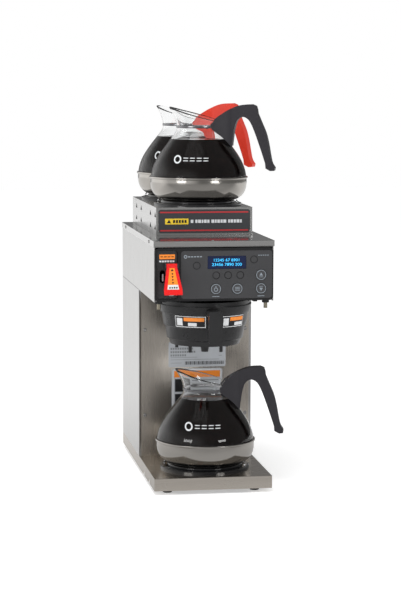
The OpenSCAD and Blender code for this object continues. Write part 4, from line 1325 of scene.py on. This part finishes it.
def studio_world():
    """White backdrop and fill; polished surfaces see a bright left, brightest behind, and a dim front."""
    world = bpy.data.worlds.new("Studio")
    world.use_nodes = True
    tree = world.node_tree
    backdrop = tree.nodes["Background"]
    backdrop.inputs["Strength"].default_value = 1.0
    place = tree.nodes.new("ShaderNodeTexCoord")
    split = tree.nodes.new("ShaderNodeSeparateXYZ")
    tree.links.new(place.outputs["Generated"], split.inputs["Vector"])
    left = map_range(tree, split.outputs["X"], -0.08, -0.50, 0.0, 1.0)
    back = map_range(tree, split.outputs["Y"], -0.10, 0.35, 0.45, 0.95)
    low = map_range(tree, split.outputs["Z"], 0.25, 0.60, 1.0, 0.08)
    side = multiply(tree, multiply(tree, left, back), low)
    total = tree.nodes.new("ShaderNodeMath")
    total.operation = "ADD"
    total.inputs[1].default_value = 0.17
    tree.links.new(side, total.inputs[0])
    light = tree.nodes.new("ShaderNodeLightPath")
    fill = map_range(tree, light.outputs["Is Diffuse Ray"], 0.0, 1.0, 1.0, 0.66)
    shown = tree.nodes.new("ShaderNodeMix")
    shown.data_type = "FLOAT"
    tree.links.new(mirror_rays(tree), shown.inputs["Factor"])
    tree.links.new(fill, shown.inputs["A"])
    tree.links.new(total.outputs[0], shown.inputs["B"])
    tree.links.new(shown.outputs["Result"], backdrop.inputs["Color"])
    return world


def floor_material():
    """Pale floor, which polished surfaces mirror darker, and lighter towards the back."""
    floor = tuple(colours().floor)
    mat, tree, shader = new_material("Floor")
    texture = use_group(tree, "Moulded texture", patch_size=(0.8, 0.8, 0.8))
    pale = blend_colours(tree, texture.outputs["Patches"], shade(floor, 0.99), shade(floor, 1.01))
    mirrored = mirror_rays(tree)
    tone = blend_colours(tree, mirrored, floor, shade(floor, 0.17))
    tree.links.new(pale, tone.node.inputs["A"])
    tree.links.new(tone, shader.inputs["Base Color"])
    shader.inputs["Roughness"].default_value = 0.8
    shader.inputs["Specular IOR Level"].default_value = 0.1
    place = tree.nodes.new("ShaderNodeTexCoord")
    split = tree.nodes.new("ShaderNodeSeparateXYZ")
    tree.links.new(place.outputs["Object"], split.inputs["Vector"])
    behind = map_range(tree, split.outputs["Y"], -0.6, 0.8, 0.20, 0.72)
    lift = blend_colours(tree, mirrored, (0.40, 0.40, 0.40), (1.0, 1.0, 1.0))
    tree.links.new(behind, lift.node.inputs["B"])
    tree.links.new(lift, shader.inputs["Emission Color"])
    shader.inputs["Emission Strength"].default_value = 1.0
    return mat


# The camera's place in metres, and its yaw, pitch and roll in degrees
CAMERA_PLACE = (-0.5275, -3.3913, 0.6972)
CAMERA_TURN = (9.05, 6.51, 0.13)


def studio_camera():
    """Camera a little left of the front and just above the hood."""
    yaw, pitch, roll = (math.radians(angle) for angle in CAMERA_TURN)
    forward = Vector((math.sin(yaw) * math.cos(pitch), math.cos(yaw) * math.cos(pitch), -math.sin(pitch)))
    right = Vector((math.cos(yaw), -math.sin(yaw), 0.0))
    up = right.cross(forward)
    right, up = (math.cos(roll) * right + math.sin(roll) * up, -math.sin(roll) * right + math.cos(roll) * up)
    data = bpy.data.cameras.new("Camera")
    data.lens = 115.12
    data.sensor_width = 36.0
    data.clip_end = 50.0
    camera = in_scene("Camera", data)
    turn = Matrix((right, up, -forward)).transposed().to_4x4()
    camera.matrix_world = Matrix.Translation(CAMERA_PLACE) @ turn
    return camera


class BREWER_OT_stage(bpy.types.Operator):
    """Set the floor, the soft studio light and the camera"""

    bl_idname = "brewer.stage"
    bl_label = "Stage"

    def execute(self, context):
        bm = bmesh.new()
        bmesh.ops.create_grid(bm, x_segments=1, y_segments=1, size=9.0)
        floor = in_scene("studio_floor", mesh_of("studio_floor", bm))
        floor.data.materials.append(floor_material())
        scene = context.scene
        scene.world = studio_world()
        scene.view_settings.view_transform = "Standard"
        area_light("Left softbox", (-2.26, -1.95, 0.75), (0, 0, 0.32), (1.1, 0.36), 8)
        area_light("Right softbox", (1.55, -2.60, 0.75), (0, 0, 0.32), (0.95, 0.34), 8)
        top = area_light("Top light", (-0.6, -1.0, 2.6), (0, 0, 0.35), (1.6, 1.2), 30)
        top.visible_glossy = False
        scene.camera = studio_camera()
        return {"FINISHED"}


class BREWER_PT_panel(bpy.types.Panel):
    """Sizes, colours and the pieces, in the order that they are made"""

    bl_label = "Coffee Brewer"
    bl_idname = "BREWER_PT_panel"
    bl_space_type = "VIEW_3D"
    bl_region_type = "UI"
    bl_category = "Brewer"

    def draw(self, context):
        for group in (context.scene.brewer_sizes, context.scene.brewer_colours):
            box = self.layout.box()
            for name in group.__annotations__:
                box.prop(group, name)
        for operator in STEPS:
            self.layout.operator(operator.bl_idname)


STEPS = (
    BREWER_OT_finishes, BREWER_OT_stage, BREWER_OT_sheet_metal, BREWER_OT_mouldings,
    BREWER_OT_decanters, BREWER_OT_coffee, BREWER_OT_display, BREWER_OT_key_marks,
    BREWER_OT_console_marks, BREWER_OT_rating_plates, BREWER_OT_lever_marks,
    BREWER_OT_caution_strip, BREWER_OT_funnel_marks, BREWER_OT_warmer_clips,
    BREWER_OT_seams, BREWER_OT_back_fasteners,
)
CLASSES = (BrewerSizes, BrewerColours) + STEPS + (BREWER_PT_panel,)


def register():
    for cls in CLASSES:
        bpy.utils.register_class(cls)
    bpy.types.Scene.brewer_sizes = bpy.props.PointerProperty(type=BrewerSizes)
    bpy.types.Scene.brewer_colours = bpy.props.PointerProperty(type=BrewerColours)


def unregister():
    del bpy.types.Scene.brewer_colours
    del bpy.types.Scene.brewer_sizes
    for cls in reversed(CLASSES):
        bpy.utils.unregister_class(cls)


def main():
    register()
    bpy.ops.brewer.finishes()
    bpy.ops.brewer.stage()
    bpy.ops.brewer.sheet_metal()
    bpy.ops.brewer.mouldings()
    bpy.ops.brewer.decanters()
    bpy.ops.brewer.coffee()
    bpy.ops.brewer.display()
    bpy.ops.brewer.key_marks()
    bpy.ops.brewer.console_marks()
    bpy.ops.brewer.rating_plates()
    bpy.ops.brewer.lever_marks()
    bpy.ops.brewer.caution_strip()
    bpy.ops.brewer.funnel_marks()
    bpy.ops.brewer.warmer_clips()
    bpy.ops.brewer.seams()
    bpy.ops.brewer.back_fasteners()
    bpy.context.view_layer.update()


if __name__ == "__main__":
    main()
